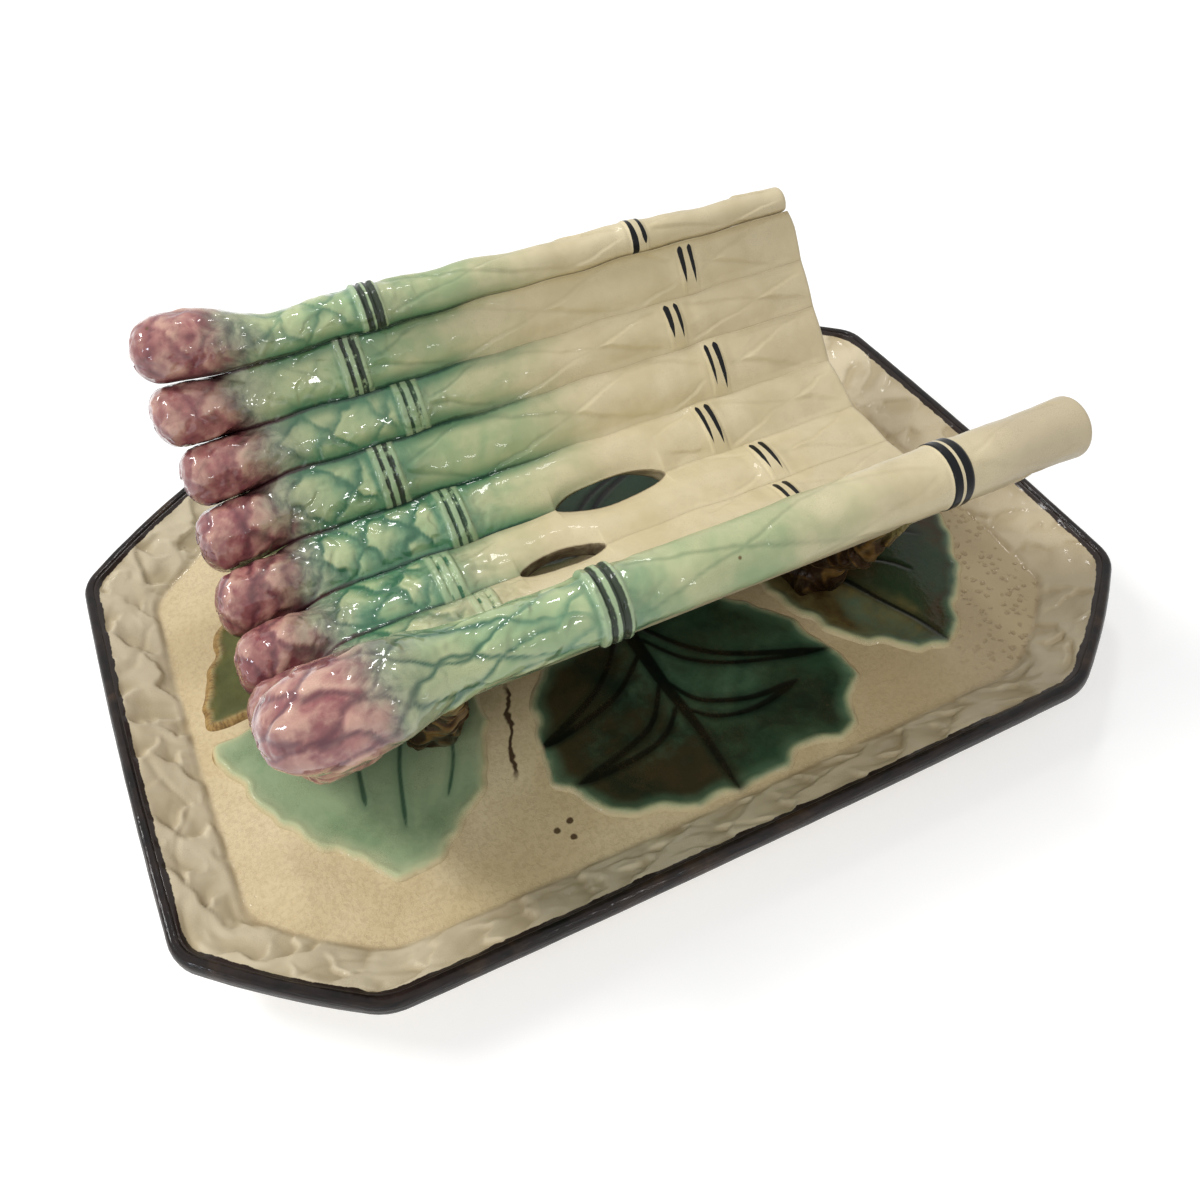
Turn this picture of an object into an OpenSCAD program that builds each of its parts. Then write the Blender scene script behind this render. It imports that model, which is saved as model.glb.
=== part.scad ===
// Asparagus plate: an octagonal glazed platter that carries a trough of asparagus
// spears on four twig feet. Millimetres, +Z up. The origin is on the table under the
// middle of the platter, +X runs toward the cut ends of the spears, +Y to the back.

/* [Platter] */
// Length over the rolled edge
tray_len = 342; // [320:2:370]
// Width over the rolled edge
tray_wid = 246; // [236:2:270]
// Corner cut, measured along the length
cut_len = 49; // [38:1:56]
// Corner cut, measured along the width
cut_wid = 40; // [30:1:48]
// How far each side bows outward at its middle
side_bow = 1; // [0.5:0.5:3]
// Corner rounding, measured back from each corner
corner_r = 7; // [4:1:10]
// Height of the rim above the table
rim_h = 28; // [26:1:32]
// Height of the floor's upper face above the table
floor_h = 15; // [14:0.5:17]
// Thickness of the floor
floor_t = 8; // [6:0.5:9]
// Width of the sloping border, from the outside to the flat floor
border_w = 21; // [18:1:26]
// Width of the rolled edge seen from above
edge_w = 4; // [3:0.5:6]
// Height of the rolled edge
edge_h = 7; // [5:0.5:9]
// Width of the foot ring
ring_w = 7; // [5:0.5:10]
// Distance of the foot ring in from the outside
ring_in = 34; // [30:1:40]

/* [Leaves] */
// Thickness of the leaf relief
leaf_t = 1.2; // [0.8:0.1:2]
// Depth of the incised veins
vein_d = 0.5; // [0.3:0.1:0.6]
// Width of the incised veins
vein_w = 1.6; // [1:0.1:2.4]
// Offset of the front and back leaves along the length
wide_leaf_x = 6; // [0:1:6]
// Gap between the front and back leaves' tips and the sloping border
wide_leaf_gap = 2; // [1:0.5:8]
// Distance of the front and back leaves from the feet's middles
wide_leaf_room = 11; // [10:1:20]
// Gap between a corner leaf and the sloping border at the platter's end
corner_leaf_gap = 5; // [4:0.5:10]
// Gap between a corner leaf's tip and the sloping border along the front or back
corner_leaf_room = 20; // [16:1:24]

/* [Trough] */
// Length from the cut ends to the tips
trough_len = 250; // [240:2:262]
// Height of the two bottom grooves above the table
trough_h = 41; // [39:1:46]
// Width of a bottom spear
stalk_w = 22; // [21:0.5:23]
// Thickness of the wall at the grooves between spears
wall_t = 6.5; // [5.5:0.5:7.5]
// How far a stalk stands above its grooves
crest = 3; // [2:0.25:4]
// How far a stalk bulges underneath
belly = 1; // [0.5:0.25:1.5]
// How far the grooves fan out toward the tips
fan = 7; // [4:0.5:8]

/* [Rails] */
// Radius of the back rail at its cut end
back_rail_r = 5.6; // [5:0.1:7]
// Radius of the back rail at its collar, where it is stoutest
back_rail_full_r = 8.9; // [8:0.1:10]
// Radius of the stout spear along the front edge
front_rail_r = 9.5; // [8.5:0.1:10.5]
// Rounding of the rails' cut ends
butt_round = 1.5; // [0.5:0.25:2.5]

/* [Heads] */
// Radius of the head on a bottom spear
bud_r = 12.2; // [11:0.1:12.8]
// Length of a head
bud_len = 36; // [32:1:38]
// How far a head stands above the grooves
bud_rise = 7.5; // [5:0.25:8.5]
// Radius of the front rail's head
front_bud_r = 14.1; // [12:0.1:15]
// Length of the front rail's head
front_bud_len = 58; // [50:1:64]
// Radius of the back rail's head
back_bud_r = 12.3; // [11:0.1:13]
// Length of the back rail's head
back_bud_len = 48; // [40:1:52]
// How far the front rail's head hangs outward of its stalk
bud_hang = 1.5; // [0:0.25:2]

/* [Collars] */
// How far a collar stands out of its stalk
collar_h = 1.2; // [0.6:0.1:1.8]
// Length of a collar along the stalk
collar_len = 10; // [7:0.5:11]

/* [Slots] */
// Length of the slot between spears 5 and 6
long_slot_len = 45; // [36:1:48]
// Width of the slot between spears 5 and 6
long_slot_w = 12; // [9:0.5:13]
// Length of the slot between spears 6 and 7
short_slot_len = 33; // [26:1:36]
// Width of the slot between spears 6 and 7
short_slot_w = 8.4; // [7:0.2:9]

/* [Feet] */
// Distance of each foot in from the trough's ends
foot_in = 50; // [49:1:54]
// Radius of a root end
foot_r = 11; // [9:0.5:11.5]
// Depth of the furrows in a root, as a share of its radius
furrow_share = 0.09; // [0.04:0.01:0.14]

/* [Hidden] */
$fn = 48;

// Small distance that cutting shapes run past the faces they cut
overrun = 5;

// Spears behind the middle groove, which lies in the bottom between spears 6 and 7, and
// how far in front of the middle plane it lies
back_count = 6;
mid_groove_in = 3;
// Widths of spears 2 to 11 as shares of stalk_w, and how they lean, in degrees
width_shares = [0.88, 0.84, 1.01, 1, 1.04, 1, 0.95, 0.93, 0.89, 0.84];
leans = [56, 52, 49, 27, 2.5, -2, -30, -51, -53, -57];
// How far grooves 1 to 11 fan toward the front at the tips, as shares of fan
fan_shares = [-0.2, 0, 0.5, 0.45, 0.5, 1, 0.7, 0.3, 0, -0.4, -1];
// Tips and collars of spears 1 to 12 as shares of half the trough's length
tip_shares = [0.992, 1, 0.984, 1.004, 1.02, 1.024, 1.036, 0.99, 0.97, 0.96, 0.96, 1.008];
collar_shares = [0.36, 0.448, 0.33, 0.452, 0.32, 0.416, 0.36, 0.44, 0.33, 0.45, 0.34, 0.268];
band_shares = [0.46, 0.604, 0.516, 0.608, 0.516, 0.62, 0.592, 0.516, 0.61, 0.516, 0.61, 0.596];
// Places along a head where its sections lie, as shares of its length from the tip
bud_shares = [1, 0.85, 0.7, 0.56, 0.42, 0.3, 0.19, 0.1, 0.04, 0.006];
// Share of a head's length that its rounded nose takes, and how blunt the nose is
nose_share = 0.36;
nose_power = 2.4;
// How far a rail's centre stands off its groove, as a share of its radius, along the
// stalk and at the head
seat_share = 0.75;
bud_seat_share = 0.88;
// Where the rails are cut off, as a share of half the trough's length
rail_butt_share = 0.97;
// Crest that is left at the cut ends, as a share of the full crest
butt_crest_share = 0.4;
butt_x = trough_len / 2;
rail_butt_x = butt_x * rail_butt_share;
// Points across the top and the underside of a section
top_count = 8;
low_count = 4;
point_count = top_count + low_count + 2;
turn = 360 / point_count;

function along(a) = [cos(a), sin(a)];
function inward(a) = [-sin(a), cos(a)];
function lean(i) = leans[i - 2];
function stalk(i) = stalk_w * width_shares[i - 2];
// Lean of the plane between spear k and spear k + 1
function seam(k) = k == 1 ? lean(2) : k == 11 ? lean(11) : (lean(k) + lean(k + 1)) / 2;

// Groove between spear k and spear k + 1, as [y, z], before the fan
function groove(k) = k == back_count ? [-mid_groove_in, trough_h]
    : k < back_count ? groove(k + 1) + stalk(k + 1) * along(lean(k + 1))
    : groove(k - 1) - stalk(k) * along(lean(k));

// The fan starts where the heads start and is full at half the trough's length
fan_x = -butt_x + bud_len;
function fan_at(x) = x > fan_x ? 0 : (fan_x - x) / (butt_x + fan_x);
function groove_at(k, x) = groove(k) - fan * fan_shares[k - 1] * fan_at(x) * along(seam(k));
function tip_x(i) = -butt_x * tip_shares[i - 1];

// Half width of the slot that opens at groove k
long_slot_x = butt_x * 0.14;
short_slot_x = -butt_x * 0.1;
function oval(x, mid, len, wid) = let (s = 2 * (x - mid) / len)
    abs(s) >= 1 ? 0 : wid / 2 * pow(1 - s * s, 0.6);
function slot(k, x) = k == 5 ? oval(x, long_slot_x, long_slot_len, long_slot_w)
    : k == 6 ? oval(x, short_slot_x, short_slot_len, short_slot_w) : 0;

// Underside point below groove k, at the wall's thickness square to spear i
function under(k, i, x) = groove_at(k, x)
    - wall_t / cos(seam(k) - lean(i)) * inward(seam(k));

// Height of a raised collar at x on spear i: a double ring near the tips, a flat band
// near the cut ends
function ridge(d, len) = d > len / 2 ? 0 : d > len * 0.4 ? (len / 2 - d) / (len * 0.1) : 1;
function collar(i, x) =
    let (near = abs(x + butt_x * collar_shares[i - 1]), far = abs(x - butt_x * band_shares[i - 1]))
    collar_h * (near < collar_len / 10 ? 0.4 : ridge(near, collar_len))
    + collar_h * 0.5 * ridge(far, collar_len * 0.8);

// Head: its radius and length, how much of the section is head, and how full its nose is
function head_r(i) = i == 1 ? back_bud_r : i == 12 ? front_bud_r : bud_r * sqrt(stalk(i) / stalk_w);
function head_len(i) = i == 1 ? back_bud_len : i == 12 ? front_bud_len : bud_len;
function bud_u(i, x) = (x - tip_x(i)) / head_len(i);
function bud_mix(u) = u > 1 ? 0 : u < 0.45 ? 1 : 0.5 + 0.5 * cos(180 * (u - 0.45) / 0.55);
function nose(u) = u >= nose_share ? 1
    : pow(1 - pow(1 - u / nose_share, nose_power), 1 / nose_power);

// Distance from c along e to the seam plane at groove k, when that is nearer than r
function cut_at(c, e, r, p, m) = e * m <= 0 ? r : min(r, ((p - c) * m) / (e * m));

// Round section about c, cut flat at the seams of spear i
function round_section(i, x, c, r, t, n) = [for (j = [0 : point_count - 1])
    let (a = 180 + turn / 2 - j * turn, e = cos(a) * t + sin(a) * n,
        ra = i == 1 ? r : cut_at(c, e, r, groove_at(i - 1, x), along(seam(i - 1))),
        rb = i == 12 ? ra : cut_at(c, e, ra, groove_at(i, x), -along(seam(i))))
    c + rb * e];

// Shallow section of a stalk between its two grooves
function stalk_section(i, x) =
    let (g = groove_at(i - 1, x), h = groove_at(i, x), t = (g - h) / norm(g - h), n = [-t[1], t[0]],
        ga = slot(i - 1, x) * t, gb = slot(i, x) * t,
        a = g - ga, b = h + gb, c = under(i - 1, i, x) - ga, d = under(i, i, x) + gb,
        rise = crest * (butt_crest_share + (1 - butt_crest_share) * min(1, (butt_x - x) / (butt_x / 2))))
    concat(
        [for (j = [0 : top_count]) let (s = j / top_count) b + (a - b) * s
            + (rise * 4 * s * (1 - s) + collar(i, x) * (1 - pow(2 * s - 1, 4))) * n],
        [for (j = [0 : low_count]) let (s = j / low_count) c + (d - c) * s - belly * 4 * s * (1 - s) * n]);

// Section of a wall or bottom spear: a stalk that swells into a round head
function wall_spear_section(i, x) =
    let (g = groove_at(i - 1, x), h = groove_at(i, x), t = (g - h) / norm(g - h), n = [-t[1], t[0]],
        u = bud_u(i, x), m = bud_mix(u), s = stalk_section(i, x))
    m == 0 ? s : let (r = head_r(i), b = round_section(i, x, (g + h) / 2 + (bud_rise - r) * n,
        r * nose(u), t, n)) [for (j = [0 : len(s) - 1]) s[j] + (b[j] - s[j]) * m];

// The back rail thickens evenly from its cut end to its collar
function back_stalk_r(x) = back_rail_r + (back_rail_full_r - back_rail_r)
    * min(1, (rail_butt_x - x) / (rail_butt_x + butt_x * collar_shares[0]));

// Section of one of the two rails, which are round all the way
function rail_section(i, x) =
    let (k = i == 1 ? 1 : 11, side = i == 1 ? 1 : -1, t = along(seam(k)), n = inward(seam(k)),
        r0 = i == 1 ? back_stalk_r(x) : front_rail_r, u = bud_u(i, x), m = bud_mix(u),
        r = r0 + (head_r(i) - r0) * m, seat = seat_share + (bud_seat_share - seat_share) * m,
        c = groove_at(k, x) + side * seat * r * t - (i == 12 ? bud_hang * m : 0) * n)
    round_section(i, x, c, r * nose(u) + collar(i, x) - (x < rail_butt_x ? 0 : butt_round), t, n);

function section(i, x) = i == 1 || i == 12 ? rail_section(i, x) : wall_spear_section(i, x);

// Places along spear i where its sections lie
function collar_stops(x, len) = [for (s = [0.5, 0.4, 0.12, 0, -0.12, -0.4, -0.5]) x + s * len];
function band_stops(x, len) = [for (s = [0.5, 0.4, -0.4, -0.5]) x + s * len];
function slot_stops(x, len) = [for (s = [0.5, 0.47, 0.38, 0.2, 0, -0.2, -0.38, -0.47, -0.5]) x + s * len];
function stops(i) = concat(i == 1 || i == 12 ? [rail_butt_x, rail_butt_x - butt_round] : [butt_x],
    band_stops(butt_x * band_shares[i - 1], collar_len * 0.8),
    i == 5 || i == 6 ? slot_stops(long_slot_x, long_slot_len) : [],
    i == 6 || i == 7 ? slot_stops(short_slot_x, short_slot_len) : [],
    collar_stops(-butt_x * collar_shares[i - 1], collar_len),
    [for (s = bud_shares) tip_x(i) + s * head_len(i)],
    [fan_x]);
function rising(v) = len(v) <= 1 ? v : let (p = v[floor(len(v) / 2)]) concat(
    rising([for (x = v) if (x < p) x]), [p], rising([for (x = v) if (x > p) x]));

// Closed skin through rings of equal length; closed = true joins the last to the first
module skin(rings, closed = false) {
    n = len(rings[0]);
    m = len(rings);
    turns = closed ? m : m - 1;
    polyhedron(
        points = [for (ring = rings) for (p = ring) p],
        faces = concat(
            [for (k = [0 : turns - 1]) for (j = [0 : n - 1])
                let (a = k * n, b = ((k + 1) % m) * n, q = (j + 1) % n)
                each [[a + j, a + q, b + q], [a + j, b + q, b + j]]],
            closed ? [] : [[for (j = [n - 1 : -1 : 0]) j], [for (j = [0 : n - 1]) (m - 1) * n + j]]),
        convexity = 8);
}

module spear(i, shade) {
    color(shade) skin([for (x = rising(stops(i))) [for (p = section(i, x)) [x, p[0], p[1]]]]);
}

// Eight corners of the platter's outline, moved in by d
function corners(d) =
    let (h = norm([cut_len, cut_wid]), hx = tray_len / 2 - side_bow - d, hy = tray_wid / 2 - side_bow - d,
        ax = hx + d - cut_len - d * (h - cut_len) / cut_wid,
        ay = hy + d - cut_wid - d * (h - cut_wid) / cut_len)
    [[hx, -ay], [hx, ay], [ax, hy], [-ax, hy], [-hx, ay], [-hx, -ay], [-ax, -hy], [ax, -hy]];
function bend(a, b, c, s) = pow(1 - s, 2) * a + 2 * s * (1 - s) * b + s * s * c;
// The outline with its corners rounded and its sides bowed
function outline(d) = let (p = corners(d), r = corner_r) [for (i = [0 : 7])
    let (c = p[i], e = p[(i + 7) % 8] - c, f = p[(i + 1) % 8] - c, g = f / norm(f))
    each concat(
        [for (s = [0, 0.33, 0.67, 1]) bend(c + e * r / norm(e), c, c + g * r, s)],
        [for (s = [0.2, 0.4, 0.6, 0.8]) c + f * s + side_bow * 4 * s * (1 - s) * [g[1], -g[0]]])];
function level(d, z) = [for (p = outline(d)) [p[0], p[1], z]];

// Underside of the floor, where the foot ring starts
under_h = floor_h - floor_t;
leaf_h = floor_h + leaf_t;

module tray() {
    color([0.86, 0.80, 0.66]) skin([
        level(border_w, floor_h),
        level(border_w * 0.92, floor_h + (rim_h - floor_h) * 0.06),
        level(border_w * 0.6, floor_h + (rim_h - floor_h) * 0.44),
        level(edge_w, rim_h - edge_h * 0.1),
        level(edge_w, rim_h - edge_h),
        level(border_w * 0.9, under_h + edge_h * 0.3),
        level(border_w * 1.15, under_h)]);
}

// Rolled edge: depth from the outside as shares of edge_w, height as shares of edge_h
edge_shares = [[1, 0.9], [0.65, 1], [0.25, 0.94], [0, 0.72], [0, 0.3], [0.2, 0.07], [0.5, 0], [1, 0]];
module rim_edge() {
    color([0.13, 0.10, 0.10]) skin([for (s = edge_shares)
        level(s[0] * edge_w, rim_h - edge_h * (1 - s[1]))], closed = true);
}

module foot_ring() {
    color([0.80, 0.74, 0.60]) skin([
        level(ring_in, under_h),
        level(ring_in + ring_w * 0.15, under_h * 0.25),
        level(ring_in + ring_w * 0.35, 0),
        level(ring_in + ring_w * 0.65, 0),
        level(ring_in + ring_w * 0.85, under_h * 0.25),
        level(ring_in + ring_w, under_h)], closed = true);
}

// The leaves fill the floor between the feet and the sloping border
foot_x = butt_x - foot_in;
well_x = tray_len / 2 - border_w;
well_y = tray_wid / 2 - border_w;
wide_leaf_w = foot_x - wide_leaf_room - wide_leaf_x;
wide_leaf_len = well_y - wide_leaf_gap;
corner_leaf_w = well_x - corner_leaf_gap - foot_x;
corner_leaf_len = well_y - corner_leaf_room;

// A smooth closed curve through hand-chosen points
function curve(p, n = 4) = let (m = len(p)) [for (i = [0 : m - 1]) for (k = [0 : n - 1])
    let (s = k / n, a = p[(i + m - 1) % m], b = p[i], c = p[(i + 1) % m], d = p[(i + 2) % m])
    0.5 * ((2 * b) + (c - a) * s + (2 * a - 5 * b + 4 * c - d) * s * s + (3 * b - a - 3 * c + d) * s * s * s)];

// Outline of the front leaf: across as shares of its half width, forward as shares of its reach
wide_leaf_shares = [[0.5, 0.22], [0.79, 0.34], [0.91, 0.48], [0.98, 0.62], [1, 0.72], [0.9, 0.84],
    [0.76, 0.94], [0.55, 0.96], [0.28, 0.985], [0, 1], [-0.3, 0.99], [-0.55, 0.95], [-0.77, 0.87],
    [-0.87, 0.75], [-0.95, 0.63], [-0.9, 0.47], [-0.77, 0.32], [-0.56, 0.22], [-0.1, 0.17]];
// Outline of a corner leaf: outward from its foot, inward of it as shares of the front
// leaf's half width, and forward from the middle line
corner_leaf_shares = [[-0.145, 0.05], [0.36, 0.02], [0.816, 0.02], [0.996, 0.07], [0.948, 0.24], [0.876, 0.42],
    [0.792, 0.58], [0.648, 0.75], [0.468, 0.93], [0.336, 1], [0.204, 0.96], [0.048, 0.86], [-0.101, 0.75],
    [-0.217, 0.61], [-0.304, 0.43], [-0.348, 0.24]];
// Veins: hand-chosen runs in the same shares as the outlines
wide_vein_shares = [
    [[0, 0.3], [0, 0.93]],
    [[0.03, 0.3], [0.28, 0.44], [0.62, 0.53], [0.88, 0.6]],
    [[0, 0.52], [0.25, 0.64], [0.62, 0.7]],
    [[-0.05, 0.34], [-0.42, 0.47], [-0.82, 0.57]],
    [[0, 0.6], [-0.28, 0.7], [-0.74, 0.74]]];
corner_vein_shares = [
    [[0.072, 0.56], [0.192, 0.7], [0.312, 0.92]],
    [[0.24, 0.38], [0.48, 0.5], [0.672, 0.56]]];

module vein_run(p) {
    for (k = [0 : len(p) - 2]) hull() {
        translate(p[k]) circle(d = vein_w, $fn = 6);
        translate(p[k + 1]) circle(d = vein_w, $fn = 6);
    }
}

module leaf(outline_pts, runs) {
    difference() {
        translate([0, 0, floor_h]) linear_extrude(leaf_t) polygon(curve(outline_pts));
        translate([0, 0, leaf_h - vein_d]) linear_extrude(vein_d + overrun)
            for (r = runs) vein_run(r);
    }
}

function wide_pts(v) = [for (s = v) [wide_leaf_x + wide_leaf_w * s[0], -wide_leaf_len * s[1]]];
function corner_pts(v) = [for (s = v)
    [foot_x + (s[0] < 0 ? wide_leaf_w : corner_leaf_w) * s[0], -corner_leaf_len * s[1]]];
module wide_leaf() { leaf(wide_pts(wide_leaf_shares), [for (r = wide_vein_shares) wide_pts(r)]); }
module corner_leaf() { leaf(corner_pts(corner_leaf_shares), [for (r = corner_vein_shares) corner_pts(r)]); }

// Levels of a foot as shares of its height, with its radius and its stand-off from the
// wall as shares of foot_r
foot_shares = [[0, 0.88, 0.27], [0.05, 1.04, 0.36], [0.16, 1, 0.66], [0.31, 0.86, 0.9], [0.46, 0.64, 0.5],
    [0.62, 0.5, 0.2], [0.78, 0.4, 0.05], [0.92, 0.28, -0.05], [1, 0.08, -0.05]];
// Distance of the wall's outer face from the middle plane at height z, front or back
function wall_y(z, front) = lookup(z, front
    ? [for (k = [7 : 10]) let (u = under(k, k + 1, 0)) [u[1], -u[0]]]
    : [for (k = [5 : -1 : 2]) let (u = under(k, k, 0)) [u[1], u[0]]]);
function foot_top(front) = under(front ? 10 : 2, front ? 10 : 3, 0)[1];

// Everything above the trough's underside
module above_trough() {
    top = trough_h * 4;
    rotate([90, 0, 90]) translate([0, 0, -foot_r * 2]) linear_extrude(foot_r * 4) polygon(concat(
        [for (i = [2 : 11]) let (s = stalk_section(i, 0)) for (j = [top_count + 1 : point_count - 1]) s[j]],
        [[groove(11)[0], top], [groove(1)[0], top]]));
}

module foot(front, right) {
    dir = front ? -1 : 1;
    height = foot_top(front) - leaf_h;
    color([0.50, 0.36, 0.16]) difference() {
        skin([for (s = foot_shares) let (z = leaf_h + s[0] * height, r = foot_r * s[1],
            y = dir * (wall_y(z, front) + foot_r * s[2]))
            [for (j = [point_count - 1 : -1 : 0])
                let (a = j * turn, f = 1 + furrow_share * cos(5 * a + 200 * s[0]))
                [right * foot_x + r * f * cos(a), y + r * f * sin(a), z]]]);
        translate([right * foot_x, 0, 0]) above_trough();
    }
}

module leaf_front() { color([0.20, 0.36, 0.28]) wide_leaf(); }
module leaf_back() { color([0.20, 0.36, 0.28]) mirror([0, 1, 0]) wide_leaf(); }
module leaf_front_left() { color([0.50, 0.66, 0.52]) mirror([1, 0, 0]) corner_leaf(); }
module leaf_front_right() { color([0.30, 0.40, 0.30]) corner_leaf(); }
module leaf_back_left() { color([0.42, 0.42, 0.24]) rotate([0, 0, 180]) corner_leaf(); }
module leaf_back_right() { color([0.30, 0.40, 0.30]) mirror([0, 1, 0]) corner_leaf(); }
module foot_front_left() { foot(true, -1); }
module foot_front_right() { foot(true, 1); }
module foot_back_left() { foot(false, -1); }
module foot_back_right() { foot(false, 1); }

green = [0.66, 0.76, 0.60];
cream = [0.82, 0.80, 0.66];
module spear_01() { spear(1, green); }
module spear_02() { spear(2, cream); }
module spear_03() { spear(3, green); }
module spear_04() { spear(4, cream); }
module spear_05() { spear(5, green); }
module spear_06() { spear(6, cream); }
module spear_07() { spear(7, green); }
module spear_08() { spear(8, cream); }
module spear_09() { spear(9, green); }
module spear_10() { spear(10, cream); }
module spear_11() { spear(11, green); }
module spear_12() { spear(12, cream); }

tray();
rim_edge();
foot_ring();
leaf_front();
leaf_back();
leaf_front_left();
leaf_front_right();
leaf_back_left();
leaf_back_right();
foot_front_left();
foot_front_right();
foot_back_left();
foot_back_right();
spear_01();
spear_02();
spear_03();
spear_04();
spear_05();
spear_06();
spear_07();
spear_08();
spear_09();
spear_10();
spear_11();
spear_12();
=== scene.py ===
"""Asparagus plate: an octagonal platter with a trough of asparagus spears on twig feet.
Glazed earthenware, fired in one piece. Sizes are in millimetres until a mesh is made."""
import bmesh
import bpy
import numpy as np
from mathutils import Matrix, Vector
from mathutils.geometry import delaunay_2d_cdt


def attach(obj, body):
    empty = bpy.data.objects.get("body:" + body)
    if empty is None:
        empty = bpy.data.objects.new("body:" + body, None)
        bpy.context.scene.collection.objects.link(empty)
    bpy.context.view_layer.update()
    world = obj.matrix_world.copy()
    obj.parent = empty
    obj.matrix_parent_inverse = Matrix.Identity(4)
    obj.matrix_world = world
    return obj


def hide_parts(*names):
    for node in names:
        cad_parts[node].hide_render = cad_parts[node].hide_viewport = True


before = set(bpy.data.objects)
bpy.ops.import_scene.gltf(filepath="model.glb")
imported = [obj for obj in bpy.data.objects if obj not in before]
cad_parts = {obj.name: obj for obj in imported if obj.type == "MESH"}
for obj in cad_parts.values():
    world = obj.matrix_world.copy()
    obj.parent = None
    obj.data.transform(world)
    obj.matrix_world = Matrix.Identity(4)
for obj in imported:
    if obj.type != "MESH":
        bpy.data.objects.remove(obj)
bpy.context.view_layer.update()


# Platter. An octagonal dish of cream earthenware, pressed in a mould and dipped in clear
# glaze. Its border slopes up to the rim in soft folds like crumpled leaves, and the flat
# floor is pitted like orange peel, more coarsely toward the right.
mm = 0.001
platter_length, platter_width = 342.0, 246.0
corner_cut_length, corner_cut_width = 49.0, 40.0
corner_rounding, side_bow = 7.0, 1.0
floor_height, floor_underside = 15.0, 7.0
rim_height, rim_breadth, rim_depth = 28.0, 4.0, 7.0
border_breadth, border_underside = 21.0, 9.1
side_points = (130, 50, 190, 50)
lip = rim_height - rim_depth


def platter_outline(inset):
    """The platter's outline, moved in by inset, with rounded corners and bowed sides."""
    slant = np.hypot(corner_cut_length, corner_cut_width)
    hx, hy = platter_length / 2 - side_bow - inset, platter_width / 2 - side_bow - inset
    ax = hx + inset - corner_cut_length - inset * (slant - corner_cut_length) / corner_cut_width
    ay = hy + inset - corner_cut_width - inset * (slant - corner_cut_width) / corner_cut_length
    corners = np.array([[hx, -ay], [hx, ay], [ax, hy], [-ax, hy],
                        [-hx, ay], [-hx, -ay], [-ax, -hy], [ax, -hy]])
    loop = []
    for i, corner in enumerate(corners):
        back, ahead = corners[i - 1] - corner, corners[(i + 1) % 8] - corner
        length = np.linalg.norm(ahead)
        start = corner + back * corner_rounding / np.linalg.norm(back)
        turn = corner + ahead * corner_rounding / length
        for s in np.linspace(0, 1, 7):
            loop.append((1 - s) ** 2 * start + 2 * s * (1 - s) * corner + s * s * turn)
        outward = np.array([ahead[1], -ahead[0]]) / length
        for s in np.linspace(0, 1, side_points[i % 4] + 1)[1:-1]:
            spot = corner + ahead * (corner_rounding + s * (length - 2 * corner_rounding)) / length
            loop.append(spot + side_bow * 0.96 * 4 * s * (1 - s) * outward)
    return np.array(loop)


def ring_faces(rings, points):
    """Four-sided faces between rings of equal length, and a face over each end."""
    faces = []
    for a in range(0, (rings - 1) * points, points):
        for j in range(points):
            k = (j + 1) % points
            faces.append((a + j, a + k, a + points + k, a + points + j))
    return faces + [tuple(range(points))[::-1], tuple(range((rings - 1) * points, rings * points))]


def mend(mesh, weld=False):
    """Turns the faces outward, after a weld of doubled points where there are some."""
    shell = bmesh.new()
    shell.from_mesh(mesh)
    if weld:
        bmesh.ops.remove_doubles(shell, verts=shell.verts, dist=1e-6)
    bmesh.ops.recalc_face_normals(shell, faces=shell.faces)
    shell.to_mesh(mesh)
    shell.free()


def new_piece(name, points, faces, edges=(), **marks):
    """A mesh object at the origin, with its faces outward and its marks kept for the glaze."""
    mesh = bpy.data.meshes.new(name)
    mesh.from_pydata((np.asarray(points) * mm).tolist(), list(edges), faces)
    for mark, values in marks.items():
        layer = mesh.attributes.new(mark, "FLOAT", "POINT")
        layer.data.foreach_set("value", np.full(len(points), values, np.float32))
    if faces:
        mend(mesh)
        mesh.shade_smooth()
    piece = bpy.data.objects.new(name, mesh)
    bpy.context.scene.collection.objects.link(piece)
    return piece


def ramp(value, size):
    """How far a value has come from 0 toward size, as a share from 0 to 1."""
    return np.clip(value / size, 0, 1)


def colour(red, green, blue):
    """A glaze colour from its everyday 0 to 255 values."""
    share = np.array([red, green, blue]) / 255
    linear = np.where(share <= 0.04045, share / 12.92, ((share + 0.055) / 1.055) ** 2.4)
    return (*linear.tolist(), 1.0)


def sum_of(operation, swapped=False):
    """What a sign between two values does: it lays one node, with the values swapped or not."""
    if swapped:
        return lambda value, other: value.bench.calc(operation, other, value)
    return lambda value, *other: value.bench.calc(operation, value, *other)


class Value:
    """A number that nodes work out, for use in plain sums."""

    def __init__(self, bench, socket):
        self.bench, self.socket = bench, socket

    __add__, __sub__, __mul__ = sum_of("ADD"), sum_of("SUBTRACT"), sum_of("MULTIPLY")
    __truediv__, __abs__ = sum_of("DIVIDE"), sum_of("ABSOLUTE")
    __rsub__, __rtruediv__ = sum_of("SUBTRACT", True), sum_of("DIVIDE", True)

    def fade(self, low, high, start=0, end=1):
        """Goes smoothly from start to end while this number goes from low to high."""
        return self.bench.number("ShaderNodeMapRange", {0: self, 1: low, 2: high, 3: start, 4: end},
                                 interpolation_type="SMOOTHSTEP")

    def fall(self, low, high, start=1):
        """Goes smoothly from start to nothing while this number goes from low to high."""
        return self.fade(low, high, start, 0)


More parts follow.
